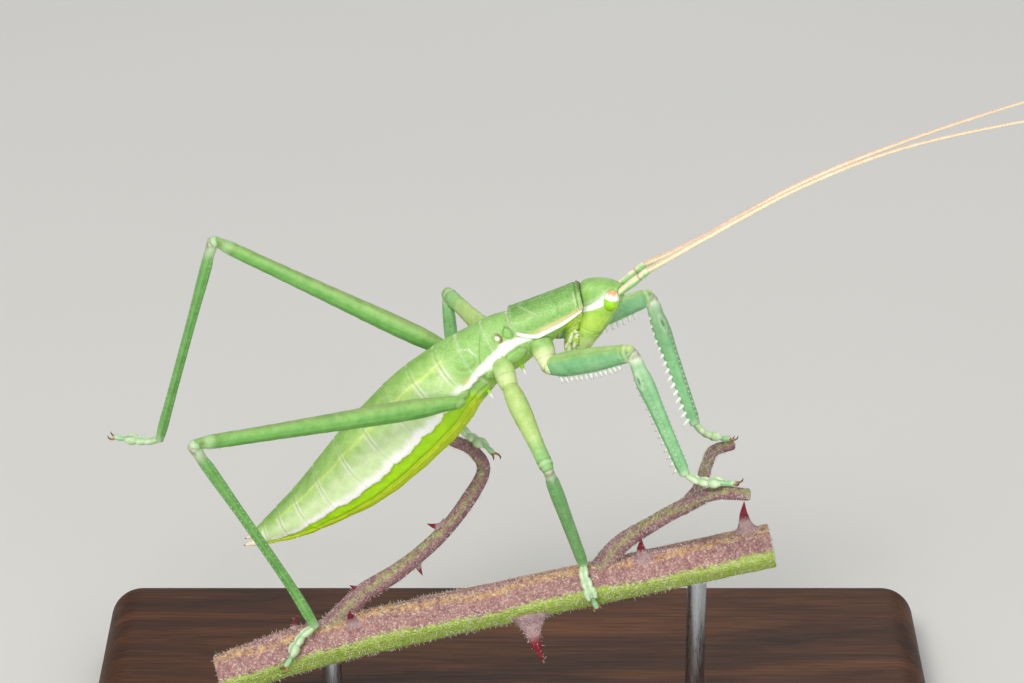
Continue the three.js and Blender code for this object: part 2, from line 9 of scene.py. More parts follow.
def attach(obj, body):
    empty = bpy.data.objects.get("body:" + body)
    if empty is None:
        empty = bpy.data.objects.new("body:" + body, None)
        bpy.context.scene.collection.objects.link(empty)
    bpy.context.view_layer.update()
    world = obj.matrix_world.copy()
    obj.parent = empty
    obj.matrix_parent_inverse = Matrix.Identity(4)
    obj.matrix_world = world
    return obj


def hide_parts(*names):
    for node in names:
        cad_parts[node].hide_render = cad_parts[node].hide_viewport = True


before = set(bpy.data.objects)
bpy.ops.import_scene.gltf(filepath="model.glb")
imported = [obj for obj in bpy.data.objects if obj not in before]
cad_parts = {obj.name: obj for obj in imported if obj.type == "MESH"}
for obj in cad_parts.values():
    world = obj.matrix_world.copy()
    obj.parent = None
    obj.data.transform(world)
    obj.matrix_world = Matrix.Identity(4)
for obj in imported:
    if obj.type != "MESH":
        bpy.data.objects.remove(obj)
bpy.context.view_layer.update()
mm = 0.001
mergeDistance = 0.002 * mm


# Small helpers

def clearSelection():
    if bpy.context.object and bpy.context.object.mode != "OBJECT":
        bpy.ops.object.mode_set(mode="OBJECT")
    bpy.ops.object.select_all(action="DESELECT")


def pick(*pieces):
    clearSelection()
    for piece in pieces:
        piece.select_set(True)
    bpy.context.view_layer.objects.active = pieces[0]
    return pieces[0]


def editAll(piece):  # edit mode with everything selected
    pick(piece)
    bpy.ops.object.mode_set(mode="EDIT")
    bpy.ops.mesh.select_all(action="SELECT")


def joinPieces(name, pieces):
    piece = pick(*pieces)
    if len(pieces) > 1:
        bpy.ops.object.join()
    piece.name = name
    piece.data.name = name
    return piece


def copyPiece(piece):  # a copy with its own mesh
    pick(piece)
    bpy.ops.object.duplicate(linked=False)
    return bpy.context.object


def placesOf(mesh):  # its points as rows of x, y and z
    flat = np.zeros(len(mesh.vertices) * 3)
    mesh.vertices.foreach_get("co", flat)
    return flat.reshape(-1, 3)


def paintMarks(mesh, marks):  # an attribute from 0 to 1 for each mark
    for key, values in marks.items():
        mesh.attributes.new(key, "FLOAT", "POINT").data.foreach_set("value", np.clip(values, 0, 1))


def applyModifier(piece, kind, **settings):
    pick(piece)
    modifier = piece.modifiers.new(kind.lower(), kind)
    for key, value in settings.items():
        setattr(modifier, key, value)
    bpy.ops.object.modifier_apply(modifier=modifier.name)


def bevelEdges(piece, width, segments, degrees):  # width in mm, on edges sharper than the degrees
    applyModifier(piece, "BEVEL", width=width * mm, segments=segments, limit_method="ANGLE",
                  angle_limit=math.radians(degrees))


def finishPiece(piece, material, replaces=(), smoothAngle=None):
    pick(piece)
    bpy.ops.object.transform_apply(location=True, rotation=True, scale=True)
    piece.data.materials.clear()
    piece.data.materials.append(material)
    if smoothAngle is None:
        bpy.ops.object.shade_smooth()
    else:
        bpy.ops.object.shade_smooth_by_angle(angle=math.radians(smoothAngle))
    if replaces:
        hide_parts(*replaces)
    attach(piece, "root")


def smoothLine(points, share):  # places along a smooth line through evenly counted points
    points = np.array(points, float)
    if points.ndim == 1:
        points = points[:, None]
    place = np.clip(share, 0, 1) * (len(points) - 1)
    index = np.minimum(place.astype(int), len(points) - 2)
    t = (place - index)[:, None]
    ends = np.vstack([2 * points[0] - points[1], points, 2 * points[-1] - points[-2]])
    a, b, c, d = (ends[index + k] for k in range(4))
    bend, twist = 2 * a - 5 * b + 4 * c - d, 3 * b - a - 3 * c + d
    return 0.5 * (2 * b + (c - a) * t + bend * t ** 2 + twist * t ** 3)


def hump(value, centre, width):  # 1 at the centre, fading on both sides
    return np.exp(-((value - centre) / width) ** 2)


def rise(value, start, end):  # 0 before start, 1 after end
    t = np.clip((value - start) / (end - start), 0, 1)
    return t * t * (3 - 2 * t)


def band(value, low, high, soft):
    return rise(value, low - soft, low + soft) * (1 - rise(value, high - soft, high + soft))


def roundOff(share):  # the outline of a round end: 0 at its tip, 1 from a share of 1
    return np.sqrt(np.maximum(1 - (1 - np.clip(share, 0, 1)) ** 2, 0))


def unit(vectors):
    return vectors / np.maximum(np.linalg.norm(vectors, axis=-1, keepdims=True), 1e-12)


def rolledGrid(name, sides, rings, place):  # a grid rolled into a closed tube by place(share, turn)
    clearSelection()
    bpy.ops.mesh.primitive_grid_add(x_subdivisions=sides, y_subdivisions=rings, size=1)
    piece = bpy.context.object
    piece.name = name
    mesh = piece.data
    flat = placesOf(mesh)
    points, marks = place(flat[:, 1] + 0.5, flat[:, 0] + 0.5)
    mesh.vertices.foreach_set("co", (points * mm).ravel())
    paintMarks(mesh, marks)
    editAll(piece)
    bpy.ops.mesh.remove_doubles(threshold=mergeDistance)
    bpy.ops.mesh.normals_make_consistent(inside=False)
    clearSelection()
    return piece


# A tube along a path. half is its half height from end to end; hinge is the way across it and slim
# its width over its height. caps are how far each end is rounded, in half thicknesses. detail(along,
# angle, length) gives an extra outward distance in mm, and marks(along, angle, length) the colours.
# capShare is the part of the rings that each rounded end takes.
def tubePiece(name, path, half, sides=24, rings=60, hinge=(0, 1, 0), slim=1.0, caps=(0.8, 0.8),
              detail=None, marks=None, capShare=0.07):
    path = np.array(path, float)
    fine = smoothLine(path, np.linspace(0, 1, 400)) if len(path) > 2 else path
    steps = np.linalg.norm(np.diff(fine, axis=0), axis=1)
    reached = np.concatenate([[0], np.cumsum(steps)])
    length = reached[-1]

    def pathAt(along):
        return np.stack([np.interp(along * length, reached, fine[:, k]) for k in range(3)], 1)

    def place(share, turn):
        start = np.clip(share / capShare, 0, 1)
        end = np.clip((1 - share) / capShare, 0, 1)
        along = np.clip((share - capShare) / (1 - 2 * capShare), 0, 1)
        angle = 2 * math.pi * turn
        size = smoothLine(half, along)[:, 0]
        centre = pathAt(along)
        tangent = unit(pathAt(np.minimum(along + 0.01, 1)) - pathAt(np.maximum(along - 0.01, 0)))
        up = unit(np.cross(tangent, np.array(hinge, float)[None, :]))
        side = np.cross(up, tangent)
        squeeze = np.ones_like(share)
        for near, cap, sign in ((start, caps[0], -1), (end, caps[1], 1)):
            inside = near < 1
            bend = near * math.pi / 2
            if cap > 0:
                squeeze = np.where(inside, np.sin(bend), squeeze)
                centre = centre + np.where(inside, sign * np.cos(bend) * cap * size, 0)[:, None] * tangent
            else:
                squeeze = np.where(inside, near, squeeze)
        extra = detail(along, angle, length) if detail else 0
        reach = (size + extra) * squeeze
        sideways, upwards = np.sin(angle) * reach * slim, np.cos(angle) * reach
        points = centre + side * sideways[:, None] + up * upwards[:, None]
        found = marks(along, angle, length) if marks else {}
        if min(caps) <= 0:  # a flat end shows its cut wood
            nearest = np.minimum(start, end)
            found["cut"] = np.where(nearest < 0.97, 1 - nearest * 0.6, 0.0)
        return points, found

    return rolledGrid(name, sides, rings, place)


# Camera

view = {"elevation": 25, "distance": 415, "target": (0, 0, 53), "lens": 131.3, "sensor": 36}
camera = bpy.data.objects.new("camera", bpy.data.cameras.new("camera"))
bpy.context.scene.collection.objects.link(camera)
tilt = math.radians(view["elevation"])
away = Vector((0, -math.cos(tilt), math.sin(tilt)))
camera.location = (Vector(view["target"]) + away * view["distance"]) * mm
camera.rotation_euler = (-away).to_track_quat("-Z", "Y").to_euler()
camera.data.lens = view["lens"]
camera.data.sensor_width = view["sensor"]
camera.data.clip_start = 0.01
bpy.context.scene.camera = camera
print("camera set")


# Materials

def tint(code):  # a hex colour as linear light
    parts = [int(code[k:k + 2], 16) / 255 for k in (0, 2, 4)]
    return tuple(c / 12.92 if c <= 0.04045 else ((c + 0.055) / 1.055) ** 2.4 for c in parts) + (1,)


def newGroup(name, inputs, outputs):
    group = bpy.data.node_groups.new(name, "ShaderNodeTree")
    for socket, kind, value in inputs:
        item = group.interface.new_socket(socket, in_out="INPUT", socket_type=kind)
        item.default_value = value
    for socket, kind in outputs:
        group.interface.new_socket(socket, in_out="OUTPUT", socket_type=kind)
    return group, group.nodes.new("NodeGroupInput"), group.nodes.new("NodeGroupOutput")


def addNode(tree, kind, values=None, **settings):
    node = tree.nodes.new(kind)
    for key, value in settings.items():
        setattr(node, key, value)
    for key, value in (values or {}).items():
        if isinstance(value, bpy.types.NodeSocket):
            tree.links.new(value, node.inputs[key])
        else:
            node.inputs[key].default_value = value
    return node


def noiseNode(tree, vector, scale, detail, roughness=0.5, distortion=0.0):
    return addNode(tree, "ShaderNodeTexNoise", {
        "Vector": vector, "Scale": scale, "Detail": detail, "Roughness": roughness,
        "Distortion": distortion}).outputs["Fac"]


def rangeNode(tree, value, fromLow, fromHigh, toLow=0.0, toHigh=1.0):
    return addNode(tree, "ShaderNodeMapRange", {
        "Value": value, "From Min": fromLow, "From Max": fromHigh,
        "To Min": toLow, "To Max": toHigh}).outputs["Result"]


def mixNode(tree, amount, under, over):
    return addNode(tree, "ShaderNodeMix", {"Factor": amount, "A": under, "B": over},
                   data_type="RGBA").outputs["Result"]


def newMaterial(name):  # a material, its node tree, its shader and the Object coordinates
    material = bpy.data.materials.new(name)
    material.use_nodes = True
    tree = material.node_tree
    place = addNode(tree, "ShaderNodeTexCoord").outputs["Object"]
    return material, tree, tree.nodes["Principled BSDF"], place


def wireShader(tree, shader, colour, rough, normal):
    for socket, source in (("Base Color", colour), ("Roughness", rough), ("Normal", normal)):
        tree.links.new(source, shader.inputs[socket])


# Skin texture: a soft mottle between two colours, with fine pits and wrinkles.
def cuticleGroup():
    group, given, out = newGroup("cuticle", [
        ("Coordinates", "NodeSocketVector", (0, 0, 0)),
        ("Dark", "NodeSocketColor", (0, 0, 0, 1)),
        ("Light", "NodeSocketColor", (1, 1, 1, 1)),
        ("Patch Scale", "NodeSocketFloat", 900.0),
        ("Pore Scale", "NodeSocketFloat", 9000.0),
        ("Depth", "NodeSocketFloat", 0.00004),
        ("Roughness Low", "NodeSocketFloat", 0.35),
        ("Roughness High", "NodeSocketFloat", 0.55),
    ], [
        ("Color", "NodeSocketColor"),
        ("Roughness", "NodeSocketFloat"),
        ("Normal", "NodeSocketVector"),
        ("Mottle", "NodeSocketFloat"),
        ("Speckle", "NodeSocketFloat"),
    ])
    place, poreScale = given.outputs["Coordinates"], given.outputs["Pore Scale"]
    patch = noiseNode(group, place, given.outputs["Patch Scale"], 5.0, 0.6)
    fine = noiseNode(group, place, poreScale, 3.0, 0.55)
    pores = addNode(group, "ShaderNodeTexVoronoi", {"Vector": place, "Scale": poreScale})
    blend = addNode(group, "ShaderNodeMath", {0: patch, 1: 0.7}, operation="MULTIPLY")
    spots = addNode(group, "ShaderNodeMath", {0: fine, 1: 0.3, 2: blend.outputs[0]},
                    operation="MULTIPLY_ADD")
    mottle = rangeNode(group, spots.outputs[0], 0.36, 0.64)
    height = addNode(group, "ShaderNodeMath", {0: fine, 1: pores.outputs["Distance"]}, operation="ADD")
    bump = addNode(group, "ShaderNodeBump", {
        "Height": height.outputs[0], "Distance": given.outputs["Depth"], "Strength": 1.0})
    found = {
        "Color": mixNode(group, mottle, given.outputs["Dark"], given.outputs["Light"]),
        "Roughness": rangeNode(group, fine, 0.3, 0.7, given.outputs["Roughness Low"],
                               given.outputs["Roughness High"]),
        "Normal": bump.outputs["Normal"],
        "Mottle": mottle,
        "Speckle": rangeNode(group, fine, 0.48, 0.66),
    }
    for socket, source in found.items():
        group.links.new(source, out.inputs[socket])
    return group


cuticle = cuticleGroup()
print("shader groups made")


# A living surface: the cuticle group under layers of colour. Each layer has the attribute that lays it
# on, its colour or two colours, its strength, and perhaps one of the group's patterns to break it up.
def skinMaterial(name, dark, light, layers, patch=900.0, pore=9000.0, depth=0.00003, rough=(0.32, 0.5),
                 inner=0.12, specular=0.5, coat=0.0):
    material, tree, shader, place = newMaterial(name)
    skin = addNode(tree, "ShaderNodeGroup", node_tree=cuticle)
    tree.links.new(place, skin.inputs["Coordinates"])
    for key, value in {"Dark": tint(dark), "Light": tint(light), "Patch Scale": patch, "Pore Scale": pore,
                       "Depth": depth, "Roughness Low": rough[0], "Roughness High": rough[1]}.items():
        skin.inputs[key].default_value = value
    colour = skin.outputs["Color"]
    for mark, layer, strength, *pattern in layers:
        wanted = addNode(tree, "ShaderNodeAttribute", attribute_name=mark).outputs["Fac"]
        if pattern:
            broken = addNode(tree, "ShaderNodeMath", {0: skin.outputs[pattern[0]], 1: 1.0},
                             operation="SUBTRACT")
            amount = addNode(tree, "ShaderNodeMath", {0: wanted, 1: 2 * strength, 2: broken.outputs[0]},
                             operation="MULTIPLY_ADD", use_clamp=True)
        else:
            amount = addNode(tree, "ShaderNodeMath", {0: wanted, 1: strength}, operation="MULTIPLY",
                             use_clamp=True)
        if isinstance(layer, tuple):
            over = mixNode(tree, skin.outputs["Mottle"], tint(layer[0]), tint(layer[1]))
        else:
            over = tint(layer)
        colour = mixNode(tree, amount.outputs[0], colour, over)
    wireShader(tree, shader, colour, skin.outputs["Roughness"], skin.outputs["Normal"])
    for key, value in {"Subsurface Weight": inner, "Subsurface Radius": (0.6, 0.8, 0.3),
                       "Subsurface Scale": 0.0006, "Specular IOR Level": specular,
                       "Coat Weight": coat, "Coat Roughness": 0.12}.items():
        shader.inputs[key].default_value = value
    return material


bodySkin = skinMaterial("bodySkin", "8dbb58", "b6d884", [
    ("dark", ("74a448", "8ebc5a"), 1.0),
    ("pale", ("c8e09c", "def0be"), 1.0),
    ("green", ("7ab24e", "9fca70"), 1.0),
    ("lime", ("98d400", "b6e800"), 1.0),
    ("yellow", ("c4e40a", "e2f430"), 1.0),
    ("fleck", ("a4ce84", "b4d896"), 1.0, "Speckle"),
    ("seam", ("dbe4c8", "f0ebe2"), 1.0),
    # painted shade: a darker green laid in the creases, grooves and seams of the body
    ("groove", "5a8a3a", 1.0),
    ("blush", "f2c07c", 1.0),
    ("stripe", ("f8f8ec", "ffffff"), 1.0),
    ("brown", ("6b4630", "8a6038"), 1.0),
], depth=0.00003)
plateSkin = skinMaterial("plateSkin", "76ab50", "8fbf66", [
    ("dark", ("55853a", "6e9e4a"), 1.0),
    ("pale", ("a8d07c", "c0e098"), 1.0),
    ("fleck", ("98c672", "aad284"), 1.0, "Speckle"),
    ("seam", ("cfd6a8", "e2e0bc"), 1.0),
    # painted shade: a darker green laid in the creases of the collar
    ("groove", "44763a", 1.0),
    ("blush", "f8dca6", 1.0),
    ("stripe", ("fbf8ea", "ffffff"), 1.0),
    ("brown", ("4f4a30", "6f5c3a"), 1.0),
], patch=1500.0, pore=6000.0, depth=0.00005)
legSkin = skinMaterial("legSkin", "70ac64", "90c682", [
    ("blue", ("72b078", "90c68e"), 1.0),
    ("grass", ("5c9c42", "7ab456"), 1.0),
    ("yellow", ("a2c468", "c2d98a"), 1.0),
    ("cream", ("dbe08e", "f2efc0"), 1.0),
    ("pale", ("cfe0bc", "e6ecd6"), 1.0),
    # painted shade: a darker green laid in the grooves, rings and slits of the legs
    ("groove", "3a7546", 1.0),
    ("brown", ("6a4634", "946c4a"), 1.0),
    ("tip", "9c8a60", 0.8),
], depth=0.00003)
clawHorn = skinMaterial("clawHorn", "8a5a34", "b98a5a", [
    ("tip", "3a2014", 1.0),
], depth=0.00001, rough=(0.25, 0.4))
ivory = skinMaterial("ivory", "f8faf0", "ffffff", [
    ("root", ("a6d29c", "bce2b2"), 1.0),
    ("tip", "f0e8d0", 0.3),
], depth=0.00001, rough=(0.3, 0.45), inner=0.1)
eyeSkin = skinMaterial("eyeSkin", "8ed40a", "aee828", [
    ("white", ("f4e6e0", "fffdf8"), 1.0),
    ("orange", ("f08a3c", "f8ad6a"), 1.0),
    # painted shade: a darker green laid on the lower side and front of the eye
    ("groove", "5a9c10", 1.0),
], patch=2500.0, pore=16000.0, depth=0.00001, rough=(0.16, 0.26), coat=0.3)
feelerSkin = skinMaterial("feelerSkin", "ead9b4", "f7edcf", [
    ("green", ("84c070", "a2d28c"), 1.0),
    ("pink", ("e0b49c", "ecc8b4"), 1.0),
    ("ring", ("cdb48c", "dcc8a0"), 1.0),
    ("brown", ("8a5636", "a06c48"), 1.0),
], patch=1600.0, depth=0.00001)
caneSkin = skinMaterial("caneSkin", "845a5c", "b88e86", [
    ("gold", ("b08848", "d2ac6c"), 1.0, "Mottle"),
    ("green", ("8eae34", "b6cc5e"), 1.0, "Mottle"),
    ("felt", ("c4b2a6", "dacfc2"), 0.9, "Speckle"),
    ("wool", ("a08488", "b8a0a0"), 1.0),
    ("red", ("5d1420", "8c2430"), 1.0),
    ("tip", "d9a878", 1.0),
    ("cut", ("b9b48a", "dcd6b0"), 1.0),
], patch=1500.0, pore=4200.0, depth=0.00012, rough=(0.55, 0.8), inner=0.03, specular=0.3)
stalkSkin = skinMaterial("stalkSkin", "7e5860", "a88280", [
    ("green", ("86904a", "a0a862"), 1.0, "Mottle"),
    ("felt", ("ac9494", "c4b0ac"), 0.9, "Speckle"),
    ("wool", ("987c80", "b0989a"), 1.0),
    ("red", ("5d1420", "8c2430"), 1.0),
    ("tip", "e0b284", 1.0),
    ("cut", ("a9ac78", "c9cc9a"), 1.0),
], patch=1800.0, pore=4200.0, depth=0.00012, rough=(0.55, 0.8), inner=0.03, specular=0.3)
hairSkin = skinMaterial("hairSkin", "e2ddd2", "f8f6f0", [], depth=0.0, rough=(0.5, 0.7), inner=0.0)
print("living materials made")


def woodMaterial():
    material, tree, shader, place = newMaterial("walnutWood")
    drawn = addNode(tree, "ShaderNodeMapping", {
        "Vector": place, "Scale": (1.0, 9.0, 9.0), "Rotation": (0.0, 0.02, 0.03)})
    grain = noiseNode(tree, drawn.outputs["Vector"], 22.0, 7.0, 0.62, 0.8)
    streak = addNode(tree, "ShaderNodeMapping", {"Vector": place, "Scale": (1.0, 24.0, 24.0)})
    fibre = noiseNode(tree, streak.outputs["Vector"], 110.0, 4.0, 0.7)
    ramp = addNode(tree, "ShaderNodeValToRGB", {"Fac": grain})
    first, last = ramp.color_ramp.elements
    first.position, first.color = 0.3, tint("26150b")
    last.position, last.color = 0.72, tint("70421f")
    ramp.color_ramp.elements.new(0.5).color = tint("4b2a14")
    darken = rangeNode(tree, fibre, 0.35, 0.6, 0.55, 1.0)
    colour = mixNode(tree, darken, tint("1e120b"), ramp.outputs["Color"])
    bump = addNode(tree, "ShaderNodeBump", {"Height": fibre, "Distance": 0.00008, "Strength": 0.6})
    wireShader(tree, shader, colour, rangeNode(tree, fibre, 0.3, 0.7, 0.6, 0.48), bump.outputs["Normal"])
    shader.inputs["Specular IOR Level"].default_value = 0.22
    return material


def steelMaterial():
    material, tree, shader, place = newMaterial("brushedSteel")
    drawn = addNode(tree, "ShaderNodeMapping", {"Vector": place, "Scale": (14.0, 14.0, 1.0)})
    brush = noiseNode(tree, drawn.outputs["Vector"], 700.0, 3.0, 0.6)
    bump = addNode(tree, "ShaderNodeBump", {"Height": brush, "Distance": 0.00001, "Strength": 0.5})
    wireShader(tree, shader, mixNode(tree, brush, tint("8f9296"), tint("c4c7ca")),
               rangeNode(tree, brush, 0.3, 0.7, 0.22, 0.42), bump.outputs["Normal"])
    shader.inputs["Metallic"].default_value = 1.0
    return material


def floorMaterial():
    material, tree, shader, place = newMaterial("paleFloor")
    shade = mixNode(tree, noiseNode(tree, place, 6.0, 4.0), tint("d0cfcb"), tint("d7d6d2"))
    tree.links.new(shade, shader.inputs["Base Color"])
    shader.inputs["Roughness"].default_value = 0.75
    return material


walnutWood = woodMaterial()
brushedSteel = steelMaterial()
paleFloor = floorMaterial()
print("stand and floor materials made")

# Body skin: abdomen, thorax and neck as one long form

trunk = {
    "stations": [  # x, z, reach up, reach down, half width, from the tail to the neck
        (-29.0, 28.3, 0.8, 0.6, 0.75), (-28.0, 28.9, 1.3, 1.2, 1.2), (-25.2, 30.7, 2.25, 2.3, 2.0),
        (-22.2, 32.9, 3.1, 3.15, 2.65), (-17.7, 36.7, 4.45, 4.4, 3.45), (-13.8, 40.7, 5.0, 4.95, 3.75),
        (-9.4, 45.5, 5.0, 5.05, 3.6), (-6.1, 49.1, 4.2, 4.2, 3.1), (-2.9, 51.7, 3.55, 3.55, 2.8),
        (-0.4, 53.3, 3.3, 3.4, 2.65), (2.4, 55.0, 2.35, 2.75, 2.35), (5.2, 56.7, 1.9, 2.1, 1.95),
        (8.2, 58.0, 1.85, 1.8, 1.6)],
    "front": 11.75, "sides": 146, "rings": 400, "narrowing": 0.16,
    "seams": [0.6, 1.2, 1.9, 2.72, 3.5, 4.25, 5.03, 5.7, 6.35, 7.04, 7.62, 8.45, 9.45],
    "step": 0.06,           # how far each back plate stands over the next
    "margin": 107.0,        # degrees from the ridge to the lower edge of the back plates
    "abdomenEnd": 7.62,
    "stripe": [(6.5, 112), (6.9, 109), (7.67, 97), (8.13, 95.5), (8.9, 84), (9.47, 85), (9.85, 94.5),
               (11.8, 95)],  # station and degrees along the middle of the white stripe
    # station, degrees, half length, half height and swelling of the side plate, of the lobe behind the
    # collar and of the two plates low on the sides
    "plates": [(7.56, 66, 0.27, 16, 0.13), (9.25, 60, 0.16, 13, 0.12), (9.08, 114, 0.36, 15, 0.2),
               (8.06, 119, 0.36, 14, 0.18)],
    "sutures": [(9.19, 50, 0.012, 42, 106), (8.30, 40, 0.010, 38, 100)],  # station, degrees, slant, from, to
    "spiracle": (8.84, 61, 0.15, 8.5),  # station, degrees, half length, half height
    "spines": [(8.94, 154, 1.0), (7.42, 147, 1.0)],  # station, degrees, length
}


def trunkFrame(s):
    count = len(trunk["stations"]) - 1
    here = smoothLine(trunk["stations"], s / count)
    near = 0.01
    ahead = smoothLine(trunk["stations"], (s + near) / count)
    step = ahead - smoothLine(trunk["stations"], (s - near) / count)
    perStation = np.linalg.norm(step[:, :2], axis=1) / (2 * near)  # mm
    tangent = unit(step[:, :2])
    return here, tangent, perStation


def trunkSurface(s, theta, extra=0.0, closing=1.0):
    here, tangent, _ = trunkFrame(s)
    a, b = np.sin(theta), np.cos(theta)
    narrow = np.where(b < 0, 1 - trunk["narrowing"] * b * b, 1.0)
    wide = (here[:, 4] * narrow + extra) * closing
    tall = (np.where(b > 0, here[:, 2], here[:, 3]) + extra) * closing
    x, z = here[:, 0] - tangent[:, 1] * b * tall, here[:, 1] + tangent[:, 0] * b * tall
    return np.stack([x, a * wide, z], 1)


def trunkPlace(share, turn):
    s = trunk["front"] * share
    theta = (2 * turn - 1) * math.pi
    deg = np.degrees(np.abs(theta))
    _, _, perStation = trunkFrame(s)
    seams = np.array(trunk["seams"])
    onAbdomen = 1 - rise(s, 7.5, 7.75)
    leaned = s + 0.1 * np.sin(np.radians(deg)) ** 2 * onAbdomen
    index = np.searchsorted(seams, leaned) - 1
    lower = np.where(index < 0, -1.0, seams[np.maximum(index, 0)])
    upper = np.where(index + 1 < len(seams), seams[np.minimum(index + 1, len(seams) - 1)], 12.5)
    fromRear, toFront = (leaned - lower) * perStation, (upper - leaned) * perStation
    through = (leaned - lower) / (upper - lower)
    nearSeam = np.minimum(fromRear, toFront)

    scallop = 4.5 * np.sin(math.pi * through) ** 0.6 - 2.5 + 1.1 * np.sin(23 * s) + 0.7 * np.sin(61 * s + 1)
    margin = trunk["margin"] + 10 * (1 - rise(s, 1.8, 3.3)) + scallop
    back = 1 - rise(deg, margin - 2, margin + 2)  # on the back plates
    stripeLine = np.interp(s, *zip(*trunk["stripe"]))
    stripeWide = 5.5 + 4 * band(s, 7.7, 9.4, 0.25)
    forward = rise(s, 6.95, 7.25)

    plateStep = trunk["step"] * (np.exp(-fromRear / 0.4) - np.exp(-toFront / 0.16))
    extra = plateStep * np.where(s < trunk["abdomenEnd"], 1, 0.6) * (0.35 + 0.65 * back)
    extra += 0.09 * hump(deg, 0, 5) * onAbdomen + 0.04 * hump(deg, 47, 9) * onAbdomen
    extra -= 0.24 * rise(deg, margin, margin + 3) * (1 - rise(deg, margin + 4, margin + 24)) * onAbdomen
    extra -= 0.10 * hump(deg, 132, 2.0) * onAbdomen
    extra += 0.10 * rise(deg, 134, 140) * onAbdomen * (1 - 0.8 * hump(nearSeam, 0, 0.12))
    extra += 0.03 * np.sin(leaned * 9 + deg / 9) * onAbdomen * rise(deg, 25, 60)  # soft uneven swelling

    def oval(station, degrees, long, tall):
        return np.sqrt(((s - station) / long) ** 2 + ((deg - degrees) / tall) ** 2)

    plates = [oval(*plate[:4]) for plate in trunk["plates"]]
    sidePlate, lobe, frontSide, hindSide = plates
    for shape, plate in zip(plates, trunk["plates"]):
        extra += plate[4] * (1 - rise(shape, 0.7, 1.05)) - 0.06 * hump(shape, 1.15, 0.12)
    breathAt, breathDegrees, breathLong, breathTall = trunk["spiracle"]
    spiracle = oval(breathAt, breathDegrees + 10 * (s - breathAt), breathLong, breathTall)
    extra += 0.05 * hump(spiracle, 1.0, 0.3) - 0.16 * (1 - rise(spiracle, 0.3, 0.9))
    frontSuture, hindSuture = (
        hump((s - station + (deg - degrees) * slant) * perStation, 0, 0.09) * band(deg, low, high, 3)
        for station, degrees, slant, low, high in trunk["sutures"])
    extra -= 0.07 * (frontSuture + hindSuture)
    neck = rise(s, 10.85, 11.1)
    extra += neck * (0.04 * np.sin(s * 75) - 0.15)
    underCollar = rise(s, 9.6, 9.9) * (1 - neck) * rise(deg, 100, 120)
    extra += 0.05 * underCollar * np.sin(s * 16)  # soft folds

    closing = roundOff(s / 0.4) * roundOff((trunk["front"] - s) / 0.3)
    points = trunkSurface(s, theta, extra, closing)

    whiteAbdomen = rise(deg, margin - 20, margin - 7) * (1 - rise(deg, margin - 1, margin + 1))
    offStripe = np.abs(deg - stripeLine) + 0.8 * np.sin(s * 9) + 0.5 * np.sin(s * 19 + 1)
    whiteThorax = (1 - rise(offStripe, stripeWide - 2, stripeWide + 3.5)) * (1 - rise(s, 9.75, 10.05))
    stripe = whiteAbdomen * (1 - forward) * rise(s, 0.5, 1.6) + whiteThorax * forward
    side = 1 - forward
    marks = {
        "stripe": stripe + 1.0 * (1 - rise(oval(8.76, 110, 0.05, 3.5), 0.5, 1))
        + 0.9 * (1 - rise(spiracle, 0.4, 0.7)),
        "dark": (1 - rise(deg, 6, 44)) * 0.9 + 0.3 * hump(deg, 30, 12) * rise(s, 7.6, 8),
        "pale": side * rise(deg, 38, 84) * (1 - rise(deg, margin, margin + 2))
        * (0.95 - 0.4 * rise(s, 5.0, 7.0))
        + 0.25 * forward * hump(deg, 60, 14),
        "fleck": 0.2 + 0.22 * forward * (1 - neck),
        "green": forward * (0.75 + 0.25 * (1 - rise(frontSide, 0.9, 1.1))) * (1 - 0.7 * neck)
        + (1 - rise(sidePlate, 0.85, 1.0)) + (1 - rise(lobe, 0.85, 1.0)),
        "lime": rise(deg, margin - 0.5, margin + 1.5) * side + 0.75 * neck
        + 0.6 * forward * rise(deg, 118, 135),
        "yellow": rise(deg, 131, 134) * side * 0.9 + 0.35 * hump(deg, 47, 4) * side * rise(s, 1.2, 2),
        "seam": side * (0.15 * band(deg, 14, margin - 14, 4) + 0.85 * band(deg, 50, 78, 12))
        * (hump(toFront, 0.16, 0.13) + 0.9 * hump(fromRear, 0.30, 0.10))
        + 0.4 * side * hump(deg, 46 + 2 * np.sin(s * 7), 1.1) * rise(s, 1.5, 2.2)
        + 0.35 * side * hump(deg - 62 - 14 * np.sin(math.pi * through), 0, 1.3)
        * band(through, 0.12, 0.85, 0.1)
        + 0.9 * hump(nearSeam, 0.05, 0.08) * hump(deg, 0, 5)
        + 0.35 * forward * hump(nearSeam, 0.0, 0.1)
        + 0.8 * hump(sidePlate + 0.08 * np.sin(deg / 3), 1.15, 0.07) * rise(s, 7.5, 7.62)
        * (1 - rise(deg, 68, 78)),
        # painted shade: darker where the plate seams, the pleural line, the sutures and the plate outlines
        # sink in
        "groove": 0.14 * side * hump(fromRear, 0.07, 0.07) * band(deg, 5, margin - 12, 6)
        + 0.55 * hump(deg, 131.5, 1.0) * side
        + 0.45 * side * (hump(deg, 136, 0.8) + hump(deg, 141, 0.8)) * (s > 2)
        + 0.6 * (frontSuture + hindSuture) + 0.55 * hump(lobe, 1.1, 0.12) * (s > 9.2)
        + 0.4 * hump(frontSide, 1.15, 0.1) + 0.4 * hump(hindSide, 1.15, 0.1),
        "blush": 0.55 * forward * hump(deg, stripeLine - stripeWide - 1, 3.5) * rise(s, 9.2, 9.6)
        + 0.7 * hump(oval(7.25, 97, 0.12, 7), 0, 0.8),
        "brown": 0.9 * band(spiracle, 0.7, 1.35, 0.15) * (0.6 + 0.4 * np.sin((s - breathAt) * 14))
        + 0.3 * hump(sidePlate, 1.08, 0.05) * band(deg, 70, 90, 4)
        + 0.35 * frontSuture * band(deg, 84, 100, 2),
    }
    return points, marks


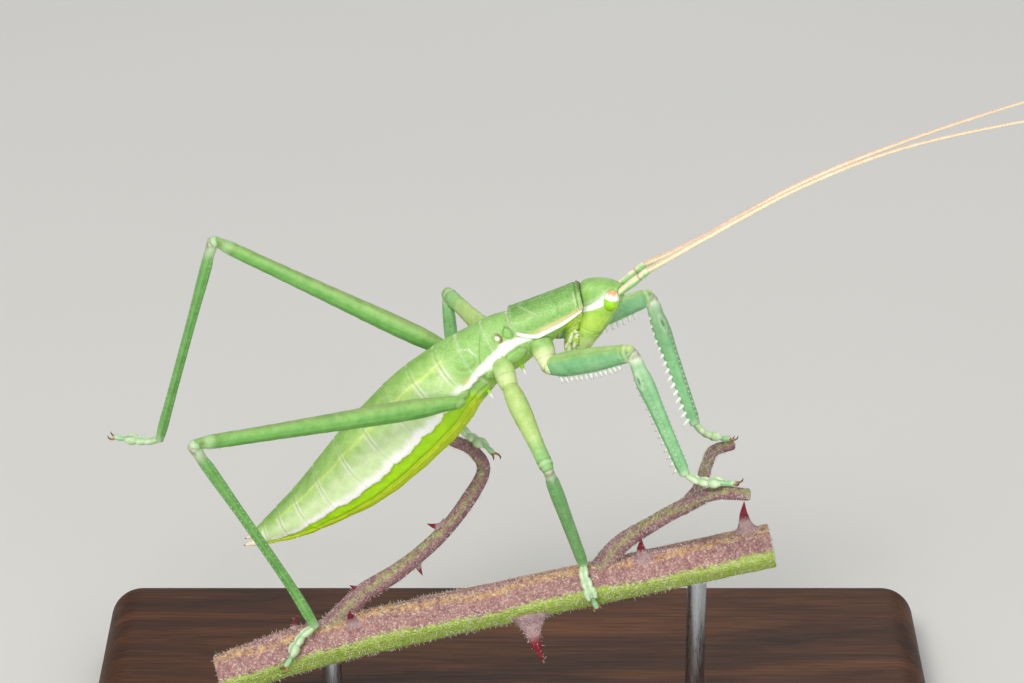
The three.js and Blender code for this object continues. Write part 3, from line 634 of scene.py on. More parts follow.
def breastSpine(station, degrees, length):
    station, theta = np.array([station]), np.array([math.radians(degrees)])
    foot = trunkSurface(station, theta, -0.3)[0]
    out = unit(trunkSurface(station, theta, 1.0)[0] - foot + np.array([0.15, 0, -0.4]))
    return tubePiece("spine", [foot, foot + out * 0.6, foot + out * (0.45 + length)], [0.34, 0.2, 0.04],
                     sides=14, rings=20, marks=lambda along, angle, length: {
                         "lime": 1 - rise(along, 0.3, 0.6), "stripe": rise(along, 0.4, 0.75)})


bodyTube = rolledGrid("bodyTube", trunk["sides"], trunk["rings"], trunkPlace)
spines = [breastSpine(station, degrees * side, length)
          for station, degrees, length in trunk["spines"] for side in (-1, 1)]
print("trunk made")


# Head

head = {
    "levels": [  # z, back, front, half width
        (52.1, 7.5, 8.5, 0.75), (52.7, 7.35, 8.95, 1.15), (54.0, 7.35, 9.85, 1.5), (55.3, 7.4, 10.75, 1.68),
        (56.6, 7.5, 11.5, 1.8), (57.8, 7.5, 12.1, 1.85), (58.9, 7.45, 12.35, 1.78), (59.7, 7.5, 12.1, 1.55),
        (60.25, 7.85, 11.4, 1.15), (60.55, 8.9, 10.6, 0.6)],
    "sides": 150, "rings": 160,
    "squareness": 2.4, "closing": (0.06, 0.05),  # the share of the rings that rounds off each end
    "eye": (10.93, 58.65), "eyeHalf": (0.8, 1.15),  # x and z
    "socket": (11.85, 0.75, 59.35),
    # x and z at the collar, slope, half width there and at the eye
    "stripe": (7.85, 57.43, 0.58, 0.26, 0.46),
    "point": (12.1, 0, 60.05), "pointHalf": (0.55, 0.32, 0.5),  # the blunt point between the feelers
}


def headPlace(share, turn):
    level = smoothLine(head["levels"], share)
    z, back, front, wide = level.T
    phi = math.pi + 2 * math.pi * turn
    chin, crown = head["closing"]
    closing = roundOff(share / chin) * roundOff((1 - share) / crown)
    cosine, sine = np.cos(phi), np.sin(phi)
    reach = (front - back) / 2
    power = head["squareness"]
    squared = (np.abs(cosine) ** power + np.abs(sine) ** power) ** (-1 / power)
    out = unit(np.stack([cosine, sine, 0.9 * rise(share, 0.8, 1.0)], 1))
    points = np.stack([(front + back) / 2 + reach * cosine * squared * closing,
                       wide * sine * squared * (1 - 0.13 * np.maximum(cosine, 0)) * closing, z], 1)
    x, y = points[:, 0], np.abs(points[:, 1])

    def away(place, radii):
        return np.sqrt(sum(((v - p) / r) ** 2 for v, p, r in zip((x, y, z), place, radii)))

    (eyeX, eyeZ), (eyeLong, eyeTall) = head["eye"], head["eyeHalf"]
    aside = np.sqrt(((x - eyeX) / eyeLong) ** 2 + ((z - eyeZ) / eyeTall) ** 2)
    aside = np.where(y > 0.8, aside, 9)  # only on the sides of the head
    socket = away(head["socket"], (1, 1, 1))
    clypeus = np.where(cosine > 0.15, 1, 0)
    sideOf = rise(np.abs(sine), 0.45, 0.75)
    mandible = hump(z + 0.25 * (x - 9), 54.9, 0.09) * sideOf
    cheekLine = hump(x - 9.3 - (z - 54.8) * 0.62, 0, 0.10) * band(z, 55.0, 57.4, 0.3) * sideOf
    extra = 0.09 * hump(aside, 1.22, 0.13) - 0.22 * (1 - rise(aside, 0.7, 1.05))
    extra += 0.10 * hump(socket, 0.68, 0.14) - 0.14 * (1 - rise(socket, 0.25, 0.6))
    extra += 0.34 * hump(away(head["point"], head["pointHalf"]), 0, 0.9)
    extra -= 0.10 * hump(z, 54.55, 0.09) * clypeus + 0.09 * hump(z, 53.45, 0.08) * clypeus
    extra -= 0.06 * mandible + 0.04 * cheekLine
    extra += 0.05 * hump(x, back + 0.25, 0.2) - 0.05 * hump(x, back + 0.6, 0.12) * rise(z, 54.5, 55.5)
    extra -= 0.04 * hump(y, 0, 0.08) * rise(z, 59.8, 60.2)
    points = points + out * extra[:, None]

    lineX, lineZ, slope, narrowHalf, wideHalf = head["stripe"]
    half = narrowHalf + (wideHalf - narrowHalf) * rise(x, lineX, 10.2)
    offset = (z - lineZ - slope * (x - lineX)) / math.hypot(1, slope)
    stripe = rise(offset, -half - 0.06, -half + 0.06) * (1 - rise(offset, half * 0.5, half * 1.5)) * sideOf
    stripe = stripe * (1 - rise(x, 10.3, 10.8))
    below = 1 - rise(offset, -half - 0.15, -half + 0.1)
    face = rise(cosine, 0.35, 0.8)
    jaws = 1 - rise(z, 53.6, 54.5)
    marks = {
        "stripe": stripe,
        "green": (1 - below) * 0.9 + 0.7 * face * below * (1 - jaws)
        + 0.4 * below * (1 - face) * rise(z, 56.0, 57.6),
        "dark": 0.25 * rise(z, 59.9, 60.5),
        "lime": below * (1 - face) * 0.4 * (1 - jaws * 0.7),
        "yellow": below * (1 - 0.8 * face) * 0.34 * hump(z, 56.0, 1.5) + 0.15 * jaws,
        "pale": 0.85 * jaws + 0.5 * hump(aside, 1.25, 0.15)
        + 0.28 * below * (1 - face) * (1 - rise(z, 56.6, 57.6)),
        "seam": 0.35 * hump(offset, 0.62, 0.2) * sideOf * (1 - rise(x, 10.4, 10.8)),
        "fleck": 0.24 + 0 * z,
        # painted shade in the jaw, cheek and face creases and round the feeler socket and the eye
        "groove": 0.22 * mandible + 0.12 * cheekLine + 0.5 * hump(z, 54.55, 0.07) * clypeus
        + 0.4 * hump(socket, 0.55, 0.08) + 0.35 * hump(aside, 1.08, 0.05),
        "brown": 0.8 * hump(away((7.7, 1.5, 54.3), (0.2, 0.4, 0.25)), 0, 0.9)
        + 0.6 * hump(away((8.4, 1.1, 52.7), (0.3, 0.5, 0.2)), 0, 0.9),
        "blush": 0.4 * hump(away((7.7, 1.8, 58.2), (0.35, 0.6, 0.25)), 0, 1),
    }
    return points, marks


headTube = rolledGrid("headTube", head["sides"], head["rings"], headPlace)

mouth = {  # jointed palps: places of the joints, half thickness
    "jaw palp": ([(7.3, 0.95, 54.5), (6.75, 1.25, 54.9), (6.35, 1.45, 53.5), (6.3, 1.5, 52.2),
                  (6.9, 1.5, 51.3)], 0.19),
    "lip palp": ([(7.2, 0.5, 53.6), (6.4, 0.8, 53.6), (5.95, 0.95, 52.6), (6.0, 1.0, 51.5)], 0.17),
    "jaw lobe": ([(7.5, 0.75, 54.6), (6.95, 0.95, 53.9), (6.85, 0.95, 52.7), (7.2, 0.8, 51.7)], 0.24),
    "throat": ([(7.9, 0.0, 57.0), (6.9, 0.0, 56.0), (6.6, 0.0, 54.8), (7.0, 0.0, 53.2)], 0.85),
}


def throatFolds(along, angle, length):  # soft wrinkled skin under the neck
    return 0.035 * np.sin(along * 31 + 2 * np.sin(angle * 3)) + 0.04 * np.sin(angle * 9 + along * 7)


def throatMarks(along, angle, length):
    folds = np.sin(along * 31 + 2 * np.sin(angle * 3))
    # painted light and shade on the folds: pale is raised on the fold crests, and the troughs get painted
    # shade
    return {"yellow": 0.55 + 0 * along, "pale": 0.45 + 0.2 * folds, "groove": 0.04 * rise(-folds, 0.5, 1)}


def palpMarks(along, angle, length):
    return {"pale": 0.8 + 0 * along, "yellow": 0.3 + 0.25 * hump(along, 0.5, 0.3),
            "stripe": 0.55 * band(along, 0.3, 0.9, 0.1), "brown": 0.5 * hump(along, 0.02, 0.05)}


palpLook = {"sides": 18, "rings": 22, "marks": palpMarks}
throatLook = {"sides": 40, "rings": 50, "slim": 1.35, "detail": throatFolds, "marks": throatMarks}
mouthTubes = []
for name, (joints, half) in mouth.items():
    throat = name == "throat"
    for side in ((1,) if throat else (-1, 1)):
        for joint in zip(joints[:-1], joints[1:]):
            mouthTubes.append(tubePiece(
                "palp", [(x, y * side, z) for x, y, z in joint], [half * v for v in (0.8, 1, 1.1, 0.95)],
                hinge=(0, 1, 0.1), **(throatLook if throat else palpLook)))
skin = joinPieces("skin", [bodyTube, headTube] + spines + mouthTubes)
finishPiece(skin, bodySkin,
            ("abdomen", "metathorax", "mesothorax", "prothorax", "neck", "head", "mouthparts"))
print("skin made:", len(skin.data.polygons), "faces")


# Collar: the saddle over the front of the thorax

collar = {
    "hind": (0.4, 55.3, 1.63, 2.75), "front": (8.05, 58.25, 1.94, 2.2),  # x, z, rise, half width
    "hang": [0.28, 0.95, 1.48, 1.42, 1.3, 1.2, 1.08, 0.9, 0.68],  # how far the sides hang, hind to front
    "arched": 0.8,  # the share of its width that goes over the back; the rest hangs down the sides
    "across": 150, "along": 96, "thickness": 0.3, "rim": 0.09, "inside": (4, 0, 56),
}


def collarPiece():
    clearSelection()
    bpy.ops.mesh.primitive_grid_add(x_subdivisions=collar["across"], y_subdivisions=collar["along"], size=1)
    piece = bpy.context.object
    mesh = piece.data
    flat = placesOf(mesh)
    t = flat[:, 1] + 0.5
    hind, front = np.array(collar["hind"]), np.array(collar["front"])
    here = hind + (front - hind) * t[:, None]
    length = math.hypot(*(front - hind)[:2])
    direction = (front - hind)[:2] / length
    reached = 2 * np.abs(flat[:, 0])
    side = 90 * np.minimum(reached / collar["arched"], 1)
    deg = side * np.sign(flat[:, 0])
    hang = smoothLine(collar["hang"], t)[:, 0]
    hanging = np.maximum(reached - collar["arched"], 0) / (1 - collar["arched"])
    toEdge = (1 - hanging) * hang + np.radians(90 - side) * 2.3  # up the side from the lower edge
    forward = (1 - t) * length
    backward = t * length
    sulcus = hump((t - 0.15 - (side - 5) * 0.0039) * length, 0, 0.10) * band(side, 5, 66, 4)
    cross = hump((t - 0.62 + 0.04 * np.cos(np.radians(side * 3))) * length, 0, 0.14) * band(side, 25, 84, 8)
    extra = 0.05 * hump(forward, 0.30, 0.12) - 0.07 * hump(forward, 0.52, 0.1)
    extra += 0.03 * hump(forward, 0.85, 0.16)
    extra -= 0.24 * (1 - rise(forward, 0.0, 0.28)) * (1 - 0.5 * rise(side, 60, 90))  # the front rim turns in
    extra += 0.04 * hump(backward, 0.12, 0.12) - 0.04 * hump(backward, 0.36, 0.12)
    extra += 0.05 * hump(toEdge, 0.10, 0.13) - 0.035 * hump(toEdge, 0.42, 0.15)
    extra -= 0.08 * sulcus + 0.04 * cross
    extra += 0.05 * hump(side, 0, 3.5) + 0.05 * hump(side, 58, 12)
    extra -= 0.05 * hump(side, 30, 14) * band(t, 0.1, 0.9, 0.1)
    extra += 0.02 * np.sin(t * 37 + side * 0.21) * np.sin(side * 0.33 + t * 11)
    radians = np.radians(deg)
    tall, wide = here[:, 2] + 0.2 + extra, here[:, 3] + 0.2 + extra
    bow = -0.25 * (1 - t) * np.cos(radians * 0.8)  # the hind edge is bowed
    height = np.cos(radians) * tall - hanging * hang
    x = here[:, 0] + direction[0] * bow - direction[1] * height
    x -= (0.25 * (side / 90) ** 2 + 0.35 * hanging) * rise(t, 0.5, 1.0)  # the front rim stands upright
    z = here[:, 1] + direction[1] * bow + direction[0] * height
    points = np.stack([x, np.sin(radians) * (wide - 0.12 * hanging), z], 1)
    mesh.vertices.foreach_set("co", (points * mm).ravel())
    white = 0.36 + 0.18 * (1 - t) + 0.02 * np.sin(t * 31)
    marks = {
        "stripe": (1 - rise(toEdge, white - 0.12, white + 0.16)) * rise(t, 0.0, 0.04),
        "blush": 0.75 * hump(toEdge, white + 0.22, 0.36) * rise(t, 0.1, 0.4),
        "dark": 0.55 * (1 - rise(side, 8, 50)) + 0.7 * hump(forward, 0.50, 0.14) * (1 - rise(side, 35, 75)),
        "pale": 0.3 * hump(side, 62, 16) + 0.35 * hump(np.hypot((t - 0.17) * 5, (side - 52) / 14), 0.6, 0.35)
        + 0.3 * rise(side, 60, 90) * (1 - rise(toEdge, 0.7, 1.6)),
        "fleck": 0.3 + 0 * t,
        "seam": 0.55 * sulcus + 0.6 * hump(forward, 0.72, 0.09) * band(side, 32, 80, 6)
        + 0.5 * hump(forward, 0.22, 0.09) * band(side, 40, 88, 6) + 0.35 * hump(backward, 0.10, 0.08)
        + 0.25 * hump(side, 0, 1.2),
        # painted shade in the cross creases of the collar
        "groove": 0.5 * hump(forward, 0.52, 0.08) + 0.25 * cross,
        "brown": 0.8 * hump(forward, 0.08, 0.14) * (1 - rise(side, 18, 48))
        + 0.3 * hump(backward, 0.06, 0.05),
    }
    paintMarks(mesh, marks)
    editAll(piece)
    bpy.ops.mesh.normals_make_consistent(inside=False)
    clearSelection()
    face = piece.data.polygons[0]
    if face.normal.dot(face.center - Vector(collar["inside"]) * mm) < 0:  # an open sheet may face inwards
        editAll(piece)
        bpy.ops.mesh.flip_normals()
        clearSelection()
    applyModifier(piece, "SOLIDIFY", thickness=collar["thickness"] * mm, offset=-1, use_even_offset=True)
    bevelEdges(piece, collar["rim"], 3, 50)
    piece.name = "collar"
    return piece


finishPiece(collarPiece(), plateSkin, ("pronotum",))
print("collar made")


# Eyes

eye = {"centre": (10.93, 1.5, 58.65), "half": (0.9, 0.88, 1.22), "segments": 72, "rings": 48, "turn": 6}


def eyePiece(name, side):
    clearSelection()
    bpy.ops.mesh.primitive_uv_sphere_add(segments=eye["segments"], ring_count=eye["rings"], radius=mm)
    piece = bpy.context.object
    piece.name = name
    editAll(piece)
    bpy.ops.transform.resize(value=eye["half"], center_override=(0, 0, 0))
    bpy.ops.object.mode_set(mode="OBJECT")
    piece.data.transform(Matrix.Rotation(math.radians(eye["turn"]), 4, "Y"))
    x, y, z = eye["centre"]
    places = placesOf(piece.data) / mm
    height = places[:, 2] / eye["half"][2] + 0.12 * places[:, 0]
    fromSpot = np.hypot((places[:, 0] - 0.05) / 0.85, (height - 1.05) / 0.5)
    marks = {
        "white": rise(height, 0.18, 0.32),
        "orange": 0.85 * (1 - rise(fromSpot, 0.4, 1.15)),
        # a dark line at the lower edge of the white, and painted shade over the bottom of the eye and the
        # front of its lower half
        "groove": 0.3 * hump(height, 0.2, 0.05) + 0.45 * (1 - rise(height, -0.98, -0.55))
        + 0.5 * rise(places[:, 0], 0.5, 0.9) * (1 - rise(height, -0.1, 0.1)),
    }
    paintMarks(piece.data, marks)
    piece.data.transform(Matrix.Translation(Vector((x, side * y, z)) * mm))
    finishPiece(piece, eyeSkin, (name,))


for name, side in (("eye_right", -1), ("eye_left", 1)):
    eyePiece(name, side)
print("eyes made")


# Feelers: a stout first joint, a short second one and a long ringed whip

feeler = {
    "right": {"socket": (11.85, -0.75, 59.3), "joint": (14.05, -1.2, 61.4),
              "whip": [(20.55, -1.7, 65.9), (31.2, -2.2, 72.4), (41.8, -3.0, 77.25), (54.7, -4.4, 81.0),
                       (63.0, -5.6, 82.6)]},
    "left": {"socket": (11.75, 0.8, 59.45), "joint": (13.7, 1.2, 61.0),
             "whip": [(20.7, 1.6, 64.75), (31.55, 2.4, 70.95), (42.5, 3.6, 75.3), (56.0, 5.6, 79.3),
                      (63.9, 7.0, 81.0)]},
    "jointHalf": [0.33, 0.38, 0.45, 0.47, 0.45, 0.41], "second": 1.3, "secondHalf": [0.38, 0.43, 0.42, 0.36],
    "whipHalf": [0.38, 0.31, 0.28, 0.25, 0.21, 0.18, 0.15, 0.13], "rings": 150,
}


def feelerPiece(name, values, creamFrom):  # creamFrom: where the cream of the first joint begins, 1 on top
    socket, joint = np.array(values["socket"]), np.array(values["joint"])
    ahead = unit(joint - socket)
    second = joint + ahead * feeler["second"]
    turns = feeler["rings"] * 2 * math.pi

    def jointMarks(along, angle, length):
        top = rise(np.cos(angle) + 0.12 * np.sin(along * 9), creamFrom, creamFrom + 0.6)
        return {"green": 0.95 * (1 - top) + 0.15 * band(along, 0.3, 0.8, 0.2),
                "brown": 0.8 * hump(along, 0.985, 0.015) + 0.5 * hump(along, 0.14, 0.012)}

    def whipMarks(along, angle, length):
        ring = np.sin(along * turns)
        return {"brown": 0.8 * hump(np.cos(angle), 0.62, 0.10) * (1 - 0.5 * along),
                "pink": 0.7 * rise(np.cos(angle), 0.55, 0.9) + 0.3 * rise(along, 0.1, 0.6),
                "ring": 0.3 * (ring > 0.55) + 0.3 * rise(along, 0.3, 0.9),
                "green": 0.5 * (1 - rise(along, 0.0, 0.06)) * (np.cos(angle) < 0.1)}

    def whipDetail(along, angle, length):
        return -0.02 * (1 - 0.6 * along) * (np.sin(along * turns) > 0.7)

    tubes = [
        tubePiece("joint", [socket - ahead * 0.25, joint], feeler["jointHalf"], sides=32, rings=50,
                  marks=jointMarks,
                  detail=lambda along, angle, length: 0.02 * np.sin(along * 9 + angle * 2)),
        tubePiece("second", [joint + ahead * 0.12, second], feeler["secondHalf"], sides=28, rings=30,
                  marks=jointMarks),
        tubePiece("whip", [second - ahead * 0.1] + values["whip"], feeler["whipHalf"], sides=16,
                  rings=feeler["rings"] * 5, marks=whipMarks, capShare=0.006, detail=whipDetail),
    ]
    finishPiece(joinPieces(name, tubes), feelerSkin,
                (name, name.replace("antenna", "antenna_joint")))


for side, creamFrom in (("right", -0.15), ("left", 0.35)):
    feelerPiece(f"antenna_{side}", feeler[side], creamFrom)
print("feelers made")


# Tail points

tail = {"root": (-28.1, 0.62, 28.5), "middle": (-29.4, 0.85, 28.15), "tip": (-30.5, 0.8, 27.8),
        "half": [0.46, 0.46, 0.36, 0.2, 0.06]}


def tailMarks(along, angle, length):
    return {"green": 0.6 * (1 - rise(along, 0.1, 0.4)),
            "brown": rise(along, 0.86, 0.97) + 0.5 * rise(np.cos(angle), 0.6, 0.95),
            "ring": 0.3 * hump(along, 0.6, 0.2)}


for name, side in (("cercus_right", -1), ("cercus_left", 1)):
    path = [(x, side * y, z) for x, y, z in (tail["root"], tail["middle"], tail["tip"])]
    finishPiece(tubePiece(name, path, tail["half"], sides=24, rings=60, marks=tailMarks),
                feelerSkin, (name,))
print("tail points made")

# Cane: ribbed and downy, with prickles and two leaf stalks

cane = {
    "route": [(-33.1, -6.4, 13.9), (-24.1, -5.7, 17.1), (-12.8, -5.0, 19.9), (5.5, -4.0, 23.8),
              (29.4, -3.0, 29.0)],
    "half": 2.5, "taper": [2.5, 2.52, 2.48, 2.45, 2.4], "ribs": 5, "ribHeight": 0.10,
    # how far along from the low end, degrees round it from -Y up over the top, length, half width
    "prickles": [(36.0, -62, 5.2, 1.1), (16.4, 62, 2.4, 0.6), (50.0, 70, 3.2, 0.7), (62.0, 96, 3.4, 0.8),
                 (53.0, 210, 3.4, 0.8), (9.0, 165, 3.0, 0.7)],
    "hairs": 5200, "seed": 11,
}
prickleTaper = [1.5, 0.85, 0.58, 0.45, 0.3, 0.16, 0.04]  # half width from its foot to its point, of half
caneShares = np.linspace(0, 1, 2000)
caneLine = smoothLine(cane["route"], caneShares)
caneReached = np.concatenate([[0], np.cumsum(np.linalg.norm(np.diff(caneLine, axis=0), axis=1))])


def besideCane(along, degrees, distance):  # along in mm from the low end
    def at(value):
        return np.array([np.interp(value, caneReached, caneLine[:, k]) for k in range(3)])
    tangent = unit(at(along + 0.2) - at(along - 0.2))
    out = np.array([0, -1.0, 0])
    up = unit(np.cross(out, tangent))
    up = -up if up[2] < 0 else up
    angle = math.radians(degrees)
    return at(along) + (out * math.cos(angle) + up * math.sin(angle)) * distance, tangent


def caneRib(along, angle):  # the ribs twist slowly along the cane
    return np.cos(angle * cane["ribs"] + 0.6 + 1.2 * along)


def caneAt(x):  # how far along the cane passes a given x
    return float(np.interp(x, caneLine[:, 0], caneReached))


def barkDetail(along, angle, length):
    ribs = cane["ribHeight"] * caneRib(along, angle)
    coarse = 0.03 * np.sin(along * 61 + angle * 3) * np.sin(along * 23 - angle * 2)
    return ribs + coarse + 0.02 * np.sin(angle * 31 + along * 17) + 0.05 * np.sin(along * 7 + 1)


def barkMarks(along, angle, length):
    high = np.cos(angle)   # 1 on top
    near = np.sin(angle)   # one side of the cane
    wave = 0.12 * np.sin(along * 19 + 2) + 0.06 * np.sin(along * 47)
    return {"gold": 0.55 * hump(high, 0.9 + wave * 0.5, 0.12)
            + 0.4 * hump(high, 0.5 + wave, 0.12) * (near > 0),
            "green": 1 - rise(high, -0.1 + wave * 0.5, 0.42 + wave * 0.5),
            "felt": 0.36 + 0.12 * hump(caneRib(along, angle), 1, 0.5)}


def prickleMarks(along, angle, length):
    return {"wool": 0.7 * (1 - rise(along, 0.4, 0.6)), "red": rise(along, 0.36, 0.6),
            "felt": 0.35 * (1 - rise(along, 0.35, 0.55)), "tip": rise(along, 0.93, 1.0) * 0.6}


def pricklePiece(foot, toward, length, half, lean):
    foot, toward, lean = (np.array(v, float) for v in (foot, toward, lean))
    path = [foot, foot + toward * length * 0.35, foot + toward * length * 0.7 + lean * length * 0.03,
            foot + toward * (length + 0.25) + lean * length * 0.12]
    return tubePiece("prickle", path, [half * v for v in prickleTaper], sides=22, rings=46, hinge=lean,
                     slim=1.55, caps=(0.3, 0.6), marks=prickleMarks)


down = {
    "spread": 0.45, "curl": 0.6, "droop": (0, 0, -0.25), "lengths": (0.5, 1.25),
    "rings": ((0.0, 0.026), (0.55, 0.018), (1.0, 0.004)),  # share of the length, half thickness
    "scatter": 0.04, "sunk": 0.03,
}


def downPiece(name, feet, outs, length, seed):  # short curved hairs, one three-sided spike each
    draw = np.random.default_rng(seed)
    count = len(feet)
    outs = unit(outs + draw.normal(0, down["spread"], (count, 3)))
    bend = unit(outs + draw.normal(0, down["curl"], (count, 3)) + np.array(down["droop"]))
    long = length * draw.uniform(*down["lengths"], count)[:, None]
    across = unit(np.cross(outs, draw.normal(0, 1, (count, 3))))
    other = np.cross(outs, across)
    rows = []
    for share, thick in down["rings"]:
        centre = feet + (outs * share + (bend - outs) * share * share * 0.6) * long
        for corner in range(3):
            turn = corner * 2 * math.pi / 3
            rows.append(centre + (across * math.cos(turn) + other * math.sin(turn)) * thick)
    points = np.stack(rows, 1).reshape(-1, 3)
    pattern = [(0, 2, 1), (6, 7, 8)]  # both ends; the sides follow
    for row in (0, 3):
        pattern += [(row + k, row + (k + 1) % 3, row + 3 + (k + 1) % 3, row + 3 + k) for k in range(3)]
    faces = [tuple(9 * i + k for k in face) for i in range(count) for face in pattern]
    mesh = bpy.data.meshes.new(name)
    mesh.from_pydata((points * mm).tolist(), [], faces)
    piece = bpy.data.objects.new(name, mesh)
    bpy.context.scene.collection.objects.link(piece)
    editAll(piece)
    bpy.ops.mesh.normals_make_consistent(inside=False)
    clearSelection()
    return piece


def downFrom(piece, name, count, length, seed):  # hairs rooted evenly over a piece's faces
    draw = np.random.default_rng(seed)
    mesh = piece.data
    size = len(mesh.polygons)
    areas, centres, normals = np.zeros(size), np.zeros(size * 3), np.zeros(size * 3)
    mesh.polygons.foreach_get("area", areas)
    mesh.polygons.foreach_get("center", centres)
    mesh.polygons.foreach_get("normal", normals)
    centres, normals = centres.reshape(-1, 3) / mm, normals.reshape(-1, 3)
    chosen = draw.choice(size, count, p=areas / areas.sum())
    feet = centres[chosen] + draw.normal(0, down["scatter"], (count, 3)) - normals[chosen] * down["sunk"]
    return downPiece(name, feet, normals[chosen], length, seed + 1)


caneTube = tubePiece("caneTube", cane["route"], cane["taper"], sides=110, rings=420, caps=(0, 0),
                     capShare=0.012, detail=barkDetail, marks=barkMarks)
prickles = []
for along, degrees, length, half in cane["prickles"]:
    foot, tangent = besideCane(along, degrees, cane["half"] - 0.35)
    tip, _ = besideCane(along, degrees, cane["half"] + 4)
    prickles.append(pricklePiece(foot, unit(tip - foot), length + 0.1, half, tangent))
canePiece = joinPieces("cane", [caneTube] + prickles)
finishPiece(canePiece, caneSkin, ("cane",), smoothAngle=50)
caneDown = downFrom(caneTube, "cane_down", cane["hairs"], 0.42, cane["seed"])
finishPiece(caneDown, hairSkin)
print("cane made")

stalks = {
    "leaf_stalk_hind": {
        "route": [(-20.4, -5.3, 19.3), (-17.3, -4.0, 23.0), (-12.7, -2, 25.3), (-8.2, 2.0, 27.6),
                  (-5.1, 5.2, 30.4), (-3.3, 7.4, 33.2), (-4.6, 8.9, 35.0), (-7.0, 10.0, 35.8)],
        "half": [1.75, 1.2, 1.05, 1.0, 0.88, 0.85, 0.83, 0.85, 0.78, 0.72, 0.66],
        # share of the length, the way it points, length, half width
        "prickles": [(0.46, (-0.9, -0.3, 0.3), 1.9, 0.45), (0.34, (0.3, -0.3, -0.9), 1.5, 0.4),
                     (0.17, (-0.9, -0.2, 0.4), 1.4, 0.4)],
        "hairs": 1100, "seed": 31},
    "leaf_stalk_front": {
        "route": [(9.5, -3.9, 25.4), (12.0, -4.0, 29.4), (16.2, -5.6, 33.4), (19.6, -8.0, 36.8),
                  (22.3, -11.4, 39.9), (25.8, -13.6, 40.9)],
        "half": [1.4, 1.15, 1.0, 0.9, 0.86, 0.86, 0.8, 0.75, 0.65], "prickles": [],
        "hairs": 1100, "seed": 38},
    "leaf_stalk_fork": {
        "route": [(19.0, -7.6, 36.0), (21.0, -4.5, 37.2), (22.0, 0.0, 37.6), (23.0, 4.0, 37.4),
                  (25.2, 5.2, 37.6)],
        "half": [0.8, 0.7, 0.68, 0.66, 0.65, 0.6], "prickles": [],
        "hairs": 500, "seed": 45},
}


def stalkDetail(along, angle, length):
    coarse = 0.025 * np.sin(along * 29) * np.cos(angle + 1)
    return 0.04 * np.cos(angle * 3) + coarse + 0.012 * np.sin(angle * 17)


def stalkMarks(along, angle, length):
    return {"green": 0.55 * hump(np.cos(angle), -0.7 + 0.2 * np.sin(along * 11), 0.4),
            "felt": 0.36 + 0.08 * np.sin(along * 43) * np.cos(angle * 2)}


def stalkPiece(name, values):
    pieces = [tubePiece(name, values["route"], values["half"], sides=48, rings=240, hinge=(0.3, -1, 0),
                        caps=(0.4, 0), capShare=0.02, detail=stalkDetail, marks=stalkMarks)]
    places = smoothLine(values["route"], np.linspace(0, 1, 300))
    last = len(places) - 1
    for share, toward, length, half in values["prickles"]:
        toward = unit(np.array(toward))
        k = int(share * last)
        ahead = unit(places[min(k + 3, last)] - places[max(k - 3, 0)])
        pieces.append(pricklePiece(places[k] + toward * 0.55, toward, length, half, ahead))
    stalk = joinPieces(name, pieces)
    finishPiece(stalk, stalkSkin, (name,), smoothAngle=50)
    fuzz = downFrom(stalk, name + "_down", values["hairs"], 0.4, values["seed"])
    finishPiece(fuzz, hairSkin)


for name, values in stalks.items():
    stalkPiece(name, values)
print("leaf stalks made")


# Legs

legs = {  # places of the joints; a foot is a path, or goes round the cane between two angles
    "front_right": {
        "pair": "front", "root": (3.25, -1.9, 53.45), "hip": (4.1, -3.3, 51.45), "knee": (13.0, -9.0, 55.85),
        "ankle": (18.9, -11.5, 42.4),
        "foot": [(20.6, -12.0, 41.7), (22.4, -12.4, 41.8), (24.3, -12.9, 42.0)]},
    "front_left": {
        "pair": "front", "root": (3.25, 1.9, 53.6), "hip": (4.7, 3.0, 52.9), "knee": (15.6, 9.0, 54.4),
        "ankle": (20.8, 5.0, 40.4), "foot": [(21.9, 4.4, 39.4), (23.2, 4.2, 39.1), (24.7, 4.2, 38.9)]},
    "mid_right": {
        "pair": "mid", "root": (-1.1, -2.2, 51.3), "hip": (-0.35, -3.9, 49.6), "knee": (3.9, -12.4, 43.4),
        "ankle": (8.0, -4.9, 27.7), "around": (8.3, 0.9, 84, -30)},
    "mid_left": {
        "pair": "mid", "root": (-1.1, 2.2, 51.5), "hip": (-0.7, 3.7, 50.3), "knee": (-7.5, 15.5, 51.9),
        "ankle": (-6.0, 9.6, 38.0), "foot": [(-5.2, 9.3, 36.9), (-3.6, 8.4, 36.2), (-2.2, 7.5, 35.3)]},
    "hind_right": {
        "pair": "hind", "root": (-5.1, -2.4, 48.05), "hip": (-5.85, -3.9, 47.4),
        "knee": (-34.6, -14.5, 47.4),
        "shin": (-25.9, -8.5, 28.7), "ankle": (-22.25, -7.2, 20.85), "around": (-22.0, -3.5, 74, 2)},
    "hind_left": {
        "pair": "hind", "root": (-5.1, 2.4, 49.0), "hip": (-6.0, 4.6, 49.2), "knee": (-33.8, 11.6, 60.2),
        "ankle": (-41.5, 17.5, 32.1),
        "foot": [(-43.3, 18.1, 31.6), (-45.0, 18.7, 31.6), (-46.9, 19.4, 31.5)]},
}
